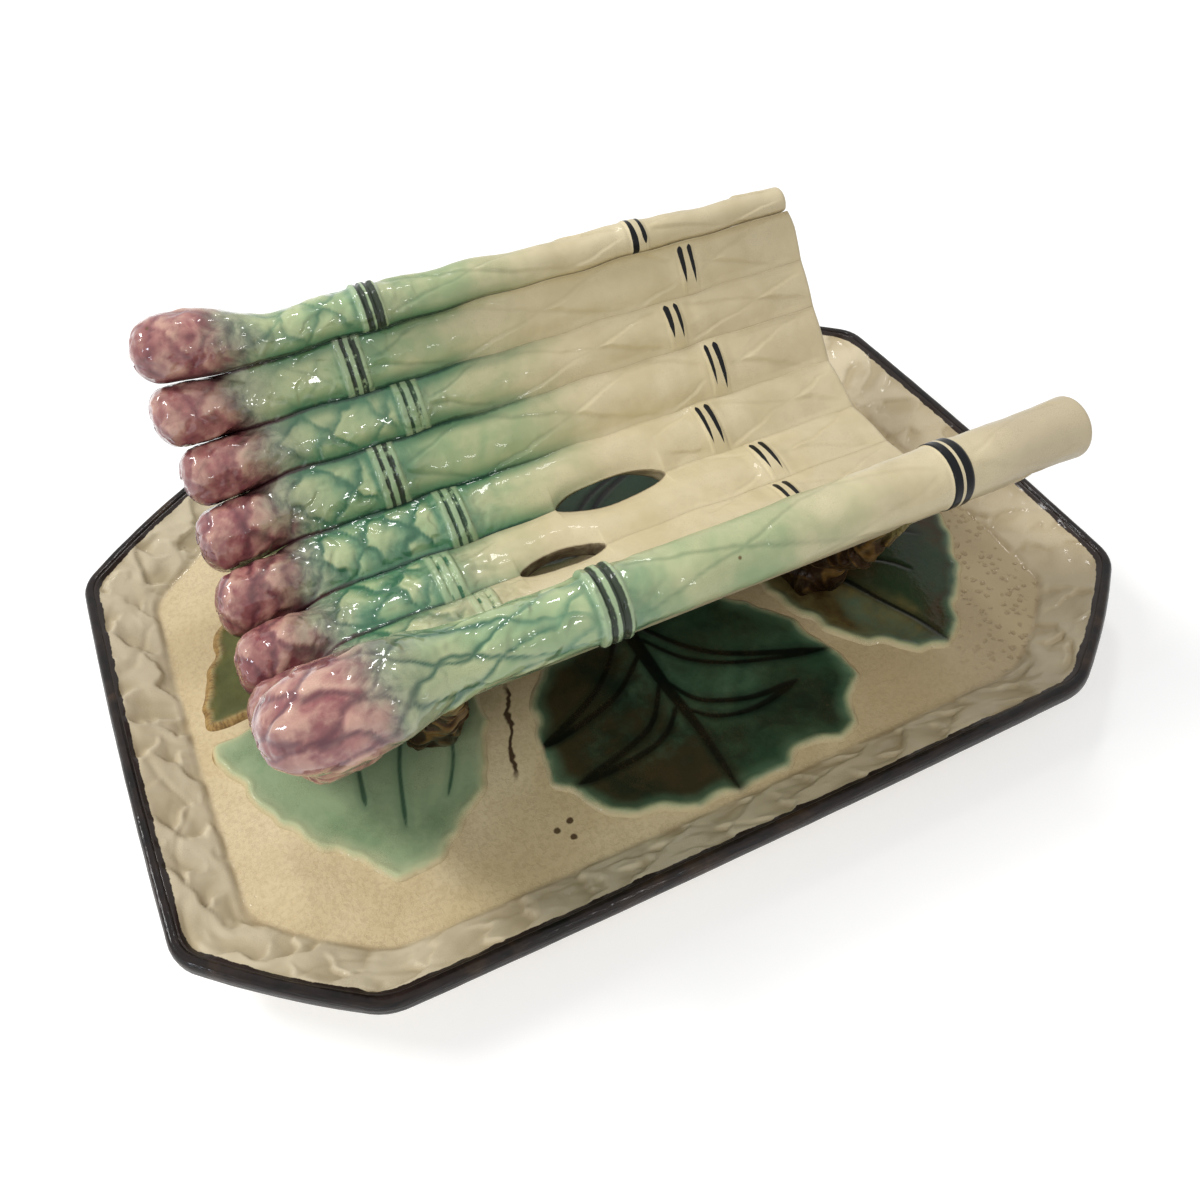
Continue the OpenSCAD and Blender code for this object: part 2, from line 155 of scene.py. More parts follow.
class Bench:
    """Lays nodes in one tree and joins them, for a glaze or for a relief."""

    def __init__(self, tree):
        self.tree = tree

    def lay(self, kind, inputs=(), **settings):
        made = self.tree.nodes.new(kind)
        for key, value in settings.items():
            setattr(made, key, value)
        for key, value in dict(inputs).items():
            value = value.socket if isinstance(value, Value) else value
            if isinstance(value, bpy.types.NodeSocket):
                self.tree.links.new(value, made.inputs[key])
            else:
                made.inputs[key].default_value = value
        return made

    def number(self, kind, inputs=(), **settings):
        return Value(self, self.lay(kind, inputs, **settings).outputs[0])

    def calc(self, operation, *values):
        return self.number("ShaderNodeMath", enumerate(values), operation=operation)

    def marks(self, *names):
        return [self.mark(name) for name in names]

    def grain(self, scale, detail=3.0, roughness=0.55, distortion=0, seed=0, place=None):
        return self.number("ShaderNodeTexNoise", {
            "Vector": place or self.place, "W": seed, "Scale": scale, "Detail": detail,
            "Roughness": roughness, "Distortion": distortion}, noise_dimensions="4D")

    def cells(self, scale, feature="F1"):
        return self.number("ShaderNodeTexVoronoi", {"Vector": self.place, "Scale": scale},
                           feature=feature)


class Glaze(Bench):
    """A fired glaze: a painted body under a glassy coat."""

    def __init__(self, name, roughness, coat, coat_roughness):
        self.material = bpy.data.materials.new(name)
        self.material.use_nodes = True
        super().__init__(self.material.node_tree)
        self.shader = self.tree.nodes["Principled BSDF"]
        for key, value in {"Roughness": roughness, "Specular IOR Level": 0.1, "IOR": 1.5,
                           "Coat Weight": coat, "Coat Roughness": coat_roughness,
                           "Coat IOR": 1.5}.items():
            self.shader.inputs[key].default_value = value
        self.place = self.lay("ShaderNodeTexCoord").outputs["Object"]

    def mark(self, name):
        return Value(self, self.lay("ShaderNodeAttribute", attribute_name=name).outputs["Fac"])

    def axes(self):
        return [Value(self, axis) for axis in
                self.lay("ShaderNodeSeparateXYZ", {0: self.place}).outputs]

    def blend(self, share, first, second):
        """A mix of two paints, each given by its 0 to 255 values or as a socket."""
        first, second = (colour(*c) if isinstance(c, tuple) else c for c in (first, second))
        made = self.lay("ShaderNodeMix", {0: share, 6: first, 7: second}, data_type="RGBA")
        return made.outputs[2]

    def over(self, share, tint):
        """Lays one more colour over the paint."""
        self.paint = self.blend(share, self.paint, tint)

    def craze(self, strength=0.15):
        """Hair-fine cracks in the glaze, a little darker than it."""
        edge, broken = self.cells(1600, "DISTANCE_TO_EDGE"), self.grain(60).fade(0.38, 0.62)
        self.over(edge.fall(0, 0.12) * broken * strength, (92, 74, 48))

    def speck(self, scale, size, tone=(96, 66, 34)):
        """A few brown specks of iron that have come through in the firing."""
        spot = self.cells(scale).fall(size * 0.5, size)
        self.over(spot * self.grain(24, 1).fade(0.53, 0.58) * 0.85, tone)

    def finish(self, dents, depth, gloss=None):
        """Joins the paint, the dents (depth in millimetres) and the gloss to the shader."""
        normal = self.lay("ShaderNodeBump", {"Strength": 1.0, "Distance": depth * mm,
                                             "Height": dents}).outputs[0]
        ends = {"Base Color": self.paint, "Normal": normal, "Coat Normal": normal}
        if gloss is not None:
            ends["Coat Weight"] = gloss.socket
        for key, socket in ends.items():
            self.tree.links.new(socket, self.shader.inputs[key])
        return self.material


class Relief(Bench):
    """A Geometry Nodes tree that works on one piece, with named sizes and a fixed seed."""

    def __init__(self, name, *sizes):
        super().__init__(bpy.data.node_groups.new(name, "GeometryNodeTree"))
        face = self.tree.interface
        face.new_socket("Geometry", in_out="INPUT", socket_type="NodeSocketGeometry")
        kinds = {"Seed": "Int", "Profile": "Object", "Glaze": "Material"}
        self.keys = {}
        for size in (*sizes, "Seed", "Glaze"):
            kind = "NodeSocket" + kinds.get(size, "Float")
            self.keys[size] = face.new_socket(size, in_out="INPUT", socket_type=kind).identifier
        face.new_socket("Geometry", in_out="OUTPUT", socket_type="NodeSocketGeometry")
        self.given = self.lay("NodeGroupInput").outputs
        self.shape = self.given["Geometry"]
        self.place = self.lay("GeometryNodeInputPosition").outputs[0]

    def size(self, name):
        return Value(self, self.given[name])

    def mark(self, name):
        return self.number("GeometryNodeInputNamedAttribute", {"Name": name}, data_type="FLOAT")

    def keep(self, name, value):
        self.shape = self.lay("GeometryNodeStoreNamedAttribute", {
            "Geometry": self.shape, "Name": name, "Value": value},
            data_type="FLOAT", domain="POINT").outputs[0]

    def lift(self, height):
        """Moves each point along its normal by height, in millimetres."""
        normal = self.lay("GeometryNodeInputNormal").outputs[0]
        offset = self.lay("ShaderNodeVectorMath", {0: normal, "Scale": height * mm},
                          operation="SCALE").outputs[0]
        self.shape = self.lay("GeometryNodeSetPosition", {
            "Geometry": self.shape, "Offset": offset}).outputs[0]

    def end(self):
        real = self.lay("GeometryNodeRealizeInstances", {0: self.shape}).outputs[0]
        glazed = self.lay("GeometryNodeSetMaterial", {
            "Geometry": real, "Material": self.given["Glaze"]}).outputs[0]
        self.lay("NodeGroupOutput", {0: glazed})

    def press(self, piece, glaze, **sizes):
        """Runs the tree on a piece and leaves the result on it as a plain mesh."""
        stage = piece.modifiers.new("relief", "NODES")
        stage.node_group = self.tree
        for size, value in {**sizes, "Glaze": glaze}.items():
            stage[self.keys[size.replace("_", " ")]] = value
        graph = bpy.context.evaluated_depsgraph_get()
        mesh = bpy.data.meshes.new_from_object(
            piece.evaluated_get(graph), preserve_all_data_layers=True, depsgraph=graph)
        piece.modifiers.remove(stage)
        piece.data = mesh
        mesh.name = piece.name
        mesh.shade_smooth()


def seat(piece, finish, *nodes):
    """The piece rides on the plate's one body and stands for its CAD solid."""
    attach(piece, "root")
    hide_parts(*nodes)


crumple = Relief("Crumpled border", "Long folds", "Short folds", "Fold depth")
slope, round_share, climb = crumple.marks("slope", "round_share", "climb")
seed = crumple.size("Seed")
stray = crumple.grain(32, 3, 0.5, 0.4, seed) - 0.5
sway = crumple.grain(58, 2, 0.5, 0.3, seed) - 0.5
folds = []
for fold_count, tilt, wander, crest in (("Long folds", 0.8, stray, 0.9),
                                        ("Short folds", -0.9, sway, 0.75)):
    run = round_share * crumple.size(fold_count) + climb * tilt + wander * 2.6
    phase = crumple.calc("FRACT", run)
    folds.append(phase.fade(0, 0.14) * (1.0 - phase) * crest)
pinch = abs(crumple.grain(44, 1, 0.5, 0.6, seed) - 0.5)
height = crumple.calc("SMOOTH_MAX", *folds, 0.05) + stray * 0.5 + pinch.fade(0, 0.07, -0.64, -0.5)
crumple.keep("fold", height)
crumple.lift(height * slope * crumple.size("Fold depth"))
crumple.end()

cream = Glaze("cream_glaze_platter", 0.42, 0.35, 0.08)
edge_distance, fold = cream.marks("from_edge", "fold")
across, toward_back, _ = cream.axes()
cloud, grit = cream.grain(16, 4, 0.6, 0.4), cream.grain(480, 3, 0.6)
border_paint = cream.blend(cloud.fade(0.3, 0.7), (200, 186, 156), (217, 205, 176))
# Painted shade: the valleys of the folds are painted darker.
border_paint = cream.blend(fold.fade(0.1, -0.45, 0, 0.5), border_paint, (164, 146, 110))
# Pits of the floor: fine peel at the left, coarser pocks at the right, none underneath
coarse = (across + cloud * 0.03).fade(0.1, 0.145)
peel = cream.grain(620, 2, 0.6, 0.6).fall(0.3, 0.62, 0.35)
pock = cream.cells(310) + cream.grain(420, 1, 0.5, 0.8) * 0.8 - 0.4
flat = edge_distance.fade(border_breadth - 0.5, border_breadth + 1.5)
on_top = edge_distance.fall(40, 50)
pits = cream.number("ShaderNodeMix", {0: coarse, 2: peel, 3: pock.fall(0.12, 0.42)},
                    data_type="FLOAT") * flat * on_top
cream.paint = cream.blend(cloud.fade(0.32, 0.68), (199, 180, 140), (218, 201, 164))
cream.over(pits * 0.62, (144, 118, 80))
# Painted shade: floor and border darker toward the right, and the right border darker again toward
# the front, where the trough's shadow falls.
cream.over(across.fade(0, 0.09, 0, 0.45), (172, 152, 116))
cream.paint = cream.blend(flat, border_paint, cream.paint)
cream.over(across.fade(0.06, 0.16, 0, 0.4) * toward_back.fall(0, 0.06), (150, 132, 102))
# Painted shade: a darker line along the step where the border meets the floor.
crease = abs(edge_distance - (border_breadth + 0.3)).fall(0, 1.6, 0.55)
cream.over(crease * cream.grain(60).fade(0.35, 0.65), (140, 116, 78))
# One firing crack in front of the trough, and three iron spots
crack_line = across + toward_back * -0.33 + cream.grain(130, 2) * 0.008 + 0.034
crack_ends = toward_back.fade(-0.064, -0.058) * toward_back.fall(-0.028, -0.022)
cream.over(abs(crack_line).fall(0.0004, 0.0013, 0.95) * crack_ends * on_top, (56, 34, 20))
for spot_x, spot_y in ((-49.2, -84.0), (-54.3, -85.5), (-50.6, -89.7)):
    middle = (spot_x * mm, spot_y * mm, floor_height * mm)
    gap = cream.lay("ShaderNodeVectorMath", {0: cream.place, 1: middle}, operation="DISTANCE")
    gap = Value(cream, gap.outputs["Value"]) + grit * 0.0012
    cream.over(gap.fall(0.0014, 0.002, 0.9), (62, 38, 20))
cream.craze()
cream.speck(40, 0.045)
ragged = edge_distance + cream.grain(120, 5, 0.7) * 2.4 - 1.2
cream.over(ragged.fall(rim_breadth + 1.3, rim_breadth + 1.5), (40, 31, 27))
cream_glaze = cream.finish(pits * coarse.fade(0, 1, -0.4, -0.8) + grit * 0.12, 0.45)

# Rings of the platter as (inset, height), from the floor up the border, then underneath
levels = [(border_breadth + inset, floor_height + rise)
          for inset, rise in ((4, 0), (2, 0), (0.9, 0.1), (0.3, 0.4), (-0.4, 1.0))]
levels += [(border_breadth - 1 - s * (border_breadth - rim_breadth - 0.7),
            floor_height + 1.7 + (rim_height - 2.4 - floor_height) * s)
           for s in np.linspace(0, 1, 27)]
upper_levels = len(levels)
levels += [(rim_breadth - 0.2, lip), (rim_breadth + 2, lip - 1.2)]
levels += [(rim_breadth + s * (border_breadth * 0.9 - rim_breadth),
            lip - s * (lip - border_underside)) for s in np.linspace(0.2, 1, 12)]
levels += [(border_breadth, floor_underside + 0.9), (border_breadth * 1.15, floor_underside)]
round_points = len(platter_outline(0))
rings = [np.c_[platter_outline(inset), np.full(round_points, z)] for inset, z in levels]
insets = np.repeat([inset for inset, z in levels], round_points)
upper = np.repeat(np.arange(len(levels)) < upper_levels, round_points)
sloping = ramp(border_breadth + 1 - insets, 2.5) * ramp(insets - rim_breadth - 0.2, 2.2) * upper
steps = np.linalg.norm(np.diff(platter_outline(0), axis=0), axis=1)
way_round = np.append(0, np.cumsum(steps)) / (steps.sum() + 1)
platter = new_piece("platter", np.vstack(rings), ring_faces(len(rings), round_points),
                    from_edge=np.where(upper, insets, 60), slope=sloping,
                    climb=ramp(border_breadth - insets, border_breadth - rim_breadth),
                    round_share=np.tile(way_round, len(levels)))
crumple.press(platter, cream_glaze, Long_folds=38.0, Short_folds=53.0, Fold_depth=2.3, Seed=4)
seat(platter, "cream_glaze", "tray")


# Rolled edge. The lip of the platter, rolled over and brushed by hand with manganese
# brown, nearly black; the brush left fine lines along it and missed a place or two.
edge_profile = [(4.0, 27.3), (3.4, 27.85), (2.6, 28.0), (1.7, 27.95), (1.0, 27.6), (0.35, 26.6),
                (0.05, 25.5), (0.0, 24.3), (0.05, 23.1), (0.45, 21.9), (1.1, 21.3), (2.0, 21.0),
                (3.0, 21.0), (4.0, 21.0)]

sweep = Relief("Profile along an outline", "Profile", "Wobble")
path = sweep.lay("GeometryNodeMeshToCurve", {"Mesh": sweep.shape}).outputs[0]
path = sweep.lay("GeometryNodeSetCurveNormal", {"Curve": path}, mode="Z_UP").outputs[0]
section = sweep.lay("GeometryNodeObjectInfo", {"Object": sweep.given["Profile"]})
section = sweep.lay("GeometryNodeMeshToCurve", {"Mesh": section.outputs["Geometry"]}).outputs[0]
sweep.shape = sweep.lay("GeometryNodeCurveToMesh", {
    "Curve": path, "Profile Curve": section}).outputs[0]
sweep.lift((sweep.grain(85, 2, 0.5, 0, sweep.size("Seed")) - 0.95) * sweep.size("Wobble"))
sweep.end()


def swept(name, inset, profile, wobble, seed, glaze):
    """A profile of (inset, height) points, carried round the platter's outline."""
    pieces = []
    across = np.array(profile)
    for label, points in ((name, platter_outline(inset)),
                          (name + "_profile", np.c_[inset - across[:, 0], -across[:, 1]])):
        count = len(points)
        pieces.append(new_piece(label, np.c_[points, np.zeros(count)], [],
                                [(j, (j + 1) % count) for j in range(count)]))
    piece, template = pieces
    sweep.press(piece, glaze, Profile=template, Wobble=wobble, Seed=seed)
    bpy.data.objects.remove(template)
    mend(piece.data, weld=True)
    return piece


brown = Glaze("manganese_rim_glaze", 0.4, 0.28, 0.08)
drawn_out = brown.lay("ShaderNodeVectorMath", {0: brown.place, 1: (1.0, 1.0, 14.0)},
                      operation="MULTIPLY").outputs[0]
brush = brown.grain(90, 3, 0.6, place=drawn_out)
thin = brown.grain(34, 4, 0.65, 0.5).fade(0.56, 0.74)
chip = brown.cells(26).fall(0.035, 0.05) * brown.grain(300).fade(0.4, 0.5)
brown.paint = brown.blend(brush.fade(0.35, 0.7), (11, 8, 7), (38, 28, 24))
brown.over(thin * 0.6, (74, 56, 40))
brown.over(chip, (196, 170, 120))
rim_glaze = brown.finish(brush + brown.grain(400) * 0.3, 0.35)
fine_profile = []
for first, second in zip(edge_profile, edge_profile[1:]):
    fine_profile += [first, ((first[0] + second[0]) / 2, (first[1] + second[1]) / 2)]
rolled_edge = swept("rolled_edge", 2.0, fine_profile + [edge_profile[-1]], 0.35, 11, rim_glaze)
seat(rolled_edge, "dark_rim_glaze", "rim_edge")


# Foot ring. A low wall under the floor, pressed in the same mould; the glaze was wiped off
# the face that it stands on, which shows the bare buff body.
ring_profile = [(34.0, 7.0), (34.6, 4.0), (35.1, 1.7), (35.7, 0.6), (36.6, 0.05), (37.5, 0.0),
                (38.4, 0.05), (39.3, 0.6), (39.9, 1.7), (40.4, 4.0), (41.0, 7.0)]
bare = Glaze("foot_ring_glaze", 0.5, 0.5, 0.2)
wiped = (bare.axes()[2] + bare.grain(200) * 0.0012).fall(0.0012, 0.0019)
bare.paint = bare.blend(bare.grain(40).fade(0.3, 0.7), (204, 188, 152), (220, 206, 174))
bare.over(wiped, bare.blend(bare.grain(260), (176, 150, 108), (206, 184, 146)))
ring_glaze = bare.finish(bare.grain(600), 0.12)
foot_ring = swept("foot_ring_piece", 37.5, ring_profile, 0.15, 5, ring_glaze)
seat(foot_ring, "base_glaze", "foot_ring")


# Leaves. Six leaves in low relief on the platter's floor, one before and one behind the
# trough and one at each corner, pressed with the platter. Their raised wavy margins shed
# the glaze, which pooled dark in the incised veins and thin at the edge.
leaf_rise, leaf_grid = 1.2, 0.85
bead_rise, swell_rise, dish_depth, vein_depth = 0.42, 0.18, 0.35, 0.35
front_leaf_line = [
    (35, -20), (52, -34), (59, -48), (63, -60), (65, -71), (62, -81), (57, -86), (51, -95),
    (45, -98), (37, -96), (29, -96), (21, -99), (12, -100), (4, -101), (-7, -99), (-17, -98),
    (-26, -94), (-33, -92), (-39, -86), (-44, -79), (-49, -71), (-48, -60), (-46, -46), (-40, -33),
    (-30, -22), (0, -17)]
back_leaf_line = [
    (-5, -17), (30, -21), (49, -33), (57, -46), (62, -62), (63, -72), (58, -83), (50, -93),
    (38, -96), (22, -98), (6, -99.5), (-11, -98), (-26, -94), (-38, -86), (-45, -75), (-49, -62),
    (-46, -46), (-38, -32), (-26, -22)]
corner_leaf_line = [
    (66, -4.1), (84, -2.2), (100.2, -1.6), (118, -1.4), (132, -1.6), (143, -3.4), (145, -10),
    (141.4, -19.7), (139, -27), (136.3, -34.4), (134, -41), (130.4, -47.6), (126, -54),
    (120.4, -61.5), (113, -69), (107.8, -76.3), (102.5, -81), (98.5, -81.6), (89.3, -78.7),
    (84, -74.5), (78.4, -70.5), (73, -66.5), (69.1, -61.5), (65, -56), (62.4, -50), (60, -43),
    (57.4, -35.3), (55.5, -27), (54.8, -19.7), (58, -10)]
# Each vein is a line of points and its breadth at the start and at the end
front_leaf_veins = [
    ([(2.0, -22), (2.6, -50), (4.0, -74), (3.6, -99.5)], 5.2, 1.5),
    ([(7.5, -24), (18, -39.3), (30.8, -49.4), (60.5, -62.5)], 1.4, 2.8),
    ([(5, -29), (14, -42.8), (26, -51.5), (43, -57.8), (60.5, -62.8)], 1.2, 1.8),
    ([(3.4, -49), (8.7, -60), (17, -65.4), (28.6, -68.9), (44, -69.2)], 1.3, 2.3),
    ([(3.4, -62), (9.9, -68.9), (18.4, -72.3), (29, -72.7), (44, -69.6)], 1.1, 2.4),
    ([(-5, -26), (-14, -37), (-26, -46), (-47, -55.9)], 1.6, 2.6),
    ([(1, -34), (-13, -46), (-27.6, -51.8), (-47, -56)], 1.5, 2.4),
    ([(0.5, -50), (-8.5, -62.3), (-19.8, -67.9), (-41, -73.4)], 1.4, 2.6),
    ([(1.0, -61), (-6.8, -68.8), (-18.1, -72.6), (-41, -73.8)], 1.3, 2.8)]
right_leaf_veins = [
    ([(78, -24), (86, -39.5), (90.7, -50.6), (97.5, -66.2), (100.7, -79)], 2.4, 0.8),
    ([(88, -22), (98, -31), (106, -38), (110, -44)], 0.9, 1.0),
    ([(96, -14), (112, -20), (124, -30)], 0.8, 0.9)]
left_leaf_veins = [
    ([(84, -24), (90, -39), (93, -50), (96, -63)], 1.0, 1.3),
    ([(100.5, -26), (102.9, -35.8), (105, -50)], 0.8, 1.6),
    ([(70, -30), (73, -44), (80, -58)], 0.8, 1.0)]


def hump(value, width):
    """A round bump of height 1 about the value 0."""
    return np.exp(-(value / width) ** 2)


def eased(share):
    """A share from 0 to 1 that starts and ends gently."""
    return share * share * (3 - 2 * share)


def smooth_run(corners, step=0.8, closed=True):
    """An even run of points on the smooth curve through the given corners."""
    corners = np.array(corners, float)
    count = len(corners)
    run = []
    for i in range(count if closed else count - 1):
        near = [(i + k) % count if closed else min(max(i + k, 0), count - 1) for k in (-1, 0, 1, 2)]
        a, b, c, d = corners[near]
        steps = max(2, int(np.linalg.norm(c - b) / step))
        for s in np.linspace(0, 1, steps, endpoint=False):
            run.append(0.5 * (2 * b + (c - a) * s + (2 * a - 5 * b + 4 * c - d) * s ** 2
                              + (3 * b - a - 3 * c + d) * s ** 3))
    if not closed:
        run.append(corners[-1])
    return np.array(run)


def distance_to_run(points, run, closed=False):
    """Distance of each point from a run of short straight steps, and how far along it lies."""
    best, where = np.full(len(points), 1e9), np.zeros(len(points))
    ends = np.roll(run, -1, 0) if closed else run[1:]
    starts = run if closed else run[:-1]
    for k, (a, b) in enumerate(zip(starts, ends)):
        step = b - a
        s = np.clip(((points - a) @ step) / (step @ step), 0, 1)
        gap = np.linalg.norm(points - a - s[:, None] * step, axis=1)
        nearer = gap < best
        best[nearer], where[nearer] = gap[nearer], (k + s[nearer]) / len(starts)
    return best, where


def leaf_mesh(edge):
    """Points and triangles that fill the leaf's edge evenly."""
    low, high = edge.min(0), edge.max(0)
    grid_x, grid_y = np.meshgrid(np.arange(low[0], high[0], leaf_grid),
                                 np.arange(low[1], high[1], leaf_grid * 0.87))
    grid_x[1::2] += leaf_grid / 2
    grid = np.c_[grid_x.ravel(), grid_y.ravel()]
    grid = grid[distance_to_run(grid, edge, True)[0] > leaf_grid * 0.7]
    loop = [(j, (j + 1) % len(edge)) for j in range(len(edge))]
    found = delaunay_2d_cdt([Vector(p) for p in np.vstack([edge, grid])], loop, [], 1, 1e-5)
    points, faces = np.array([tuple(p) for p in found[0]]), found[2]
    used = sorted({j for face in faces for j in face})
    order = {j: k for k, j in enumerate(used)}
    return points[used], [[order[j] for j in face] for face in faces]


def leaf_piece(name, node, line, veins, flip, ruffle, seed, glaze):
    """One leaf in relief: a wavy raised margin, a dished blade and incised veins."""
    edge = smooth_run(line)
    turn = np.linspace(0, 2 * np.pi, len(edge), endpoint=False)
    start = np.random.default_rng(seed).uniform(0, 6.28, 3)
    wave = sum(size * np.sin(turn * waves + start[k])
               for k, (waves, size) in enumerate(((11, 0.8), (19, 0.6), (31, 0.3))))
    outward = edge - edge.mean(0)
    outward /= np.linalg.norm(outward, axis=1)[:, None]
    edge = edge + outward * (ruffle * wave[:, None] - 0.5 * ruffle)
    flat, faces = leaf_mesh(edge)
    margin, along = distance_to_run(flat, edge, True)
    groove = np.full(len(flat), 30.0)
    for run, first, last in veins:
        gap, share = distance_to_run(flat, smooth_run(run, 1.0, False))
        taper = (first + (last - first) * share) * np.clip((1.01 - share) * 6, 0, 1) / 2
        groove = np.minimum(groove, gap - taper)
    swell = np.sin(flat[:, 0] / 8.5 + start[2]) * np.cos(flat[:, 1] / 7.0 + start[0])
    rise = leaf_rise * eased(ramp(margin, 2.2))
    rise += bead_rise * hump(margin - 2.0 - 0.5 * np.sin(along * 140), 1.1)
    rise += swell_rise * swell * ramp(margin - 3, 6) - dish_depth * ramp(margin - 3, 4)
    rise -= vein_depth * hump(np.clip(groove + 0.5, 0, 9), 0.9) - 0.05 * hump(groove - 1.6, 0.7)
    rise = np.maximum(rise, 0.25 * ramp(margin, 1.5))
    midrib = smooth_run(veins[0][0], 1.0, False)
    spine = flat[:, 0] - np.interp(-flat[:, 1], -midrib[:, 1], midrib[:, 0])
    count = len(flat)
    steps = [step for face in faces for step in zip(face, face[1:] + face[:1])]
    inner = set(steps)
    sides = [[b, a, a + count, b + count] for a, b in steps if (b, a) not in inner]
    under = [[j + count for j in face[::-1]] for face in faces]
    flat = flat * flip
    tops = np.c_[flat, floor_height - 0.05 + rise]
    bottoms = np.c_[flat, np.full(count, floor_height - 1.0)]
    piece = new_piece(name, np.vstack([tops, bottoms]), faces + sides + under,
                      margin=np.tile(margin, 2), vein=np.tile(groove, 2),
                      spine=np.tile(spine, 2), along=np.tile(along, 2))
    piece.data.materials.append(glaze)
    seat(piece, "leaf_glaze", node)


def leaf_glaze(name, blade, other_half, patch, light_tint, vein_tint, ink, split_at,
               crust=(60.0, 61.0), reach_in=8.0):
    """Copper green, olive and brown glazes run together over one leaf, with a brown
    crust on its edge in the given range across the blade."""
    leaf = Glaze(name, 0.35, 0.2, 0.05)
    margin, vein, spine, along = leaf.marks("margin", "vein", "spine", "along")
    cloud, fine = leaf.grain(28, 4, 0.6, 0.8), leaf.grain(170, 4, 0.65, 0.3)
    half = (spine + cloud * 30.0 - 15).fade(split_at - 4, split_at + 6)
    leaf.paint = leaf.blend(half, other_half, blade)
    leaf.over((cloud + fine * 0.35).fade(0.58, 0.86), patch)
    light = leaf.grain(21, 3, 0.5, 0.5, 3) + fine * 0.3
    leaf.over(light.fade(0.66, 0.92, 0, 0.6), light_tint)
    reach = margin + leaf.grain(60, 3) * -6.0 + 3.0
    uneven = leaf.grain(36, 2, seed=7).fade(0.36, 0.62, 0.25, 0.85)
    leaf.over(reach.fall(1, reach_in) * uneven, light_tint)
    thin = margin + fine * -1.5 + 0.75
    leaf.over(thin.fall(1, 4, 0.9) * cloud.fade(0.34, 0.56), (180, 182, 140))
    leaf.over((vein + fine * 0.6).fall(0.3, 3.4, 0.6), vein_tint)
    leaf.over((vein + fine * 0.3).fall(-0.2, 0.75, 0.96), ink)
    leaf.over(thin.fall(0.4, 2.2, 0.9), (200, 184, 146))
    stripes = leaf.calc("PINGPONG", along * 420.0 + fine * 9.0, 1.0)
    comb = stripes * 0.16 + leaf.grain(330, 3) * 0.9
    crusty = (margin + fine * 4.0 + comb * 1.8).fall(4.2, 7.6, 0.95) * spine.fade(*crust)
    leaf.over(crusty, leaf.blend(comb.fade(0.3, 0.75), (104, 74, 36), (168, 136, 82)))
    leaf.craze(0.32)
    leaf.speck(80, 0.05, (48, 40, 22))
    return leaf.finish(fine * 0.4 + leaf.grain(380, 2), 0.15)


pale_green = leaf_glaze(
    "celadon_leaf_glaze", blade=(144, 163, 126), other_half=(152, 171, 132), patch=(120, 144, 108),
    light_tint=(184, 190, 150), vein_tint=(118, 145, 112), ink=(60, 88, 66), split_at=-40.0)
deep_green = leaf_glaze(
    "deep_green_leaf_glaze", blade=(44, 70, 50), other_half=(54, 48, 29), patch=(24, 36, 25),
    light_tint=(92, 126, 98), vein_tint=(14, 30, 20), ink=(5, 11, 8), split_at=0.0)
olive_green = leaf_glaze(
    "olive_leaf_glaze", blade=(78, 80, 40), other_half=(74, 92, 54), patch=(44, 58, 28),
    light_tint=(124, 122, 70), vein_tint=(40, 50, 24), ink=(22, 30, 14), split_at=2.0,
    crust=(24.0, 34.0), reach_in=9.0)
mixed_green = leaf_glaze(
    "mixed_leaf_glaze", blade=(40, 60, 38), other_half=(110, 100, 60), patch=(60, 42, 20),
    light_tint=(92, 128, 106), vein_tint=(20, 34, 22), ink=(8, 14, 9), split_at=0.0, reach_in=6.0)
for name, node, line, veins, flip, ruffle, seed, glaze in (
        ("in_front", "front", front_leaf_line, front_leaf_veins, (1, 1), 0.9, 3, deep_green),
        ("behind", "back", back_leaf_line, front_leaf_veins, (1, -1), 0.9, 8, deep_green),
        ("at_front_left", "front_left", corner_leaf_line, left_leaf_veins,
         (-1, 1), 0.8, 5, pale_green),
        ("at_front_right", "front_right", corner_leaf_line, right_leaf_veins,
         (1, 1), 0.8, 9, mixed_green),
        ("at_back_left", "back_left", corner_leaf_line, left_leaf_veins,
         (-1, -1), 0.9, 12, olive_green),
        ("at_back_right", "back_right", corner_leaf_line, right_leaf_veins,
         (1, -1), 0.8, 15, mixed_green)):
    leaf_piece("leaf_" + name, "leaf_" + node, line, veins, flip, ruffle, seed, glaze)


# Spears. Twelve asparagus spears lie side by side and make the trough: a stout one as the
# front rail, one as the back rail, ten between them as walls and bottom. They are moulded
# in one sheet of clay; raised double collars mark the joints of the stalks. The heads are
# mauve, the necks copper green, and the cut ends cream, with painted black strokes.
trough_length, bottom_height, stalk_breadth, wall_thickness = 250.0, 41.0, 22.0, 6.5
crest_rise, belly_drop, fan_spread = 3.0, 1.0, 7.0
back_rail_thin, back_rail_stout, front_rail_radius, cut_rounding = 5.6, 8.9, 9.5, 1.5
bud_radius, bud_length, bud_rise = 12.2, 36.0, 7.5
front_bud_radius, front_bud_length, front_bud_hang = 14.1, 58.0, 1.5
back_bud_radius, back_bud_length = 12.3, 48.0
full_bud, rail_blunt, wall_blunt, nose_power = 0.45, 0.36, 0.3, 2.4
rail_blend, bud_blend, fillet, back_fillet_gain, fillet_reach = 2.0, 0.9, 2.8, 1.2, 2.4
corner_breadth, corner_length, corner_depth = 8.0, 14.0, 5.0
row_step, front_row_step, points_over, front_points_over = 0.95, 0.55, 52, 80
collar_rise, collar_length = 1.2, 10.0
# The ten spears between the rails, from the back: breadth, and lean in degrees
breadth_shares = [0.88, 0.84, 1.01, 1, 1.04, 1, 0.95, 0.93, 0.89, 0.84]
leans = [56, 52, 49, 27, 2.5, -2, -30, -51, -53, -57]
# The eleven grooves between the spears: how far each swings out toward the heads
fan_shares = [-0.2, 0, 0.5, 0.45, 0.5, 1, 0.7, 0.3, 0, -0.4, -1]
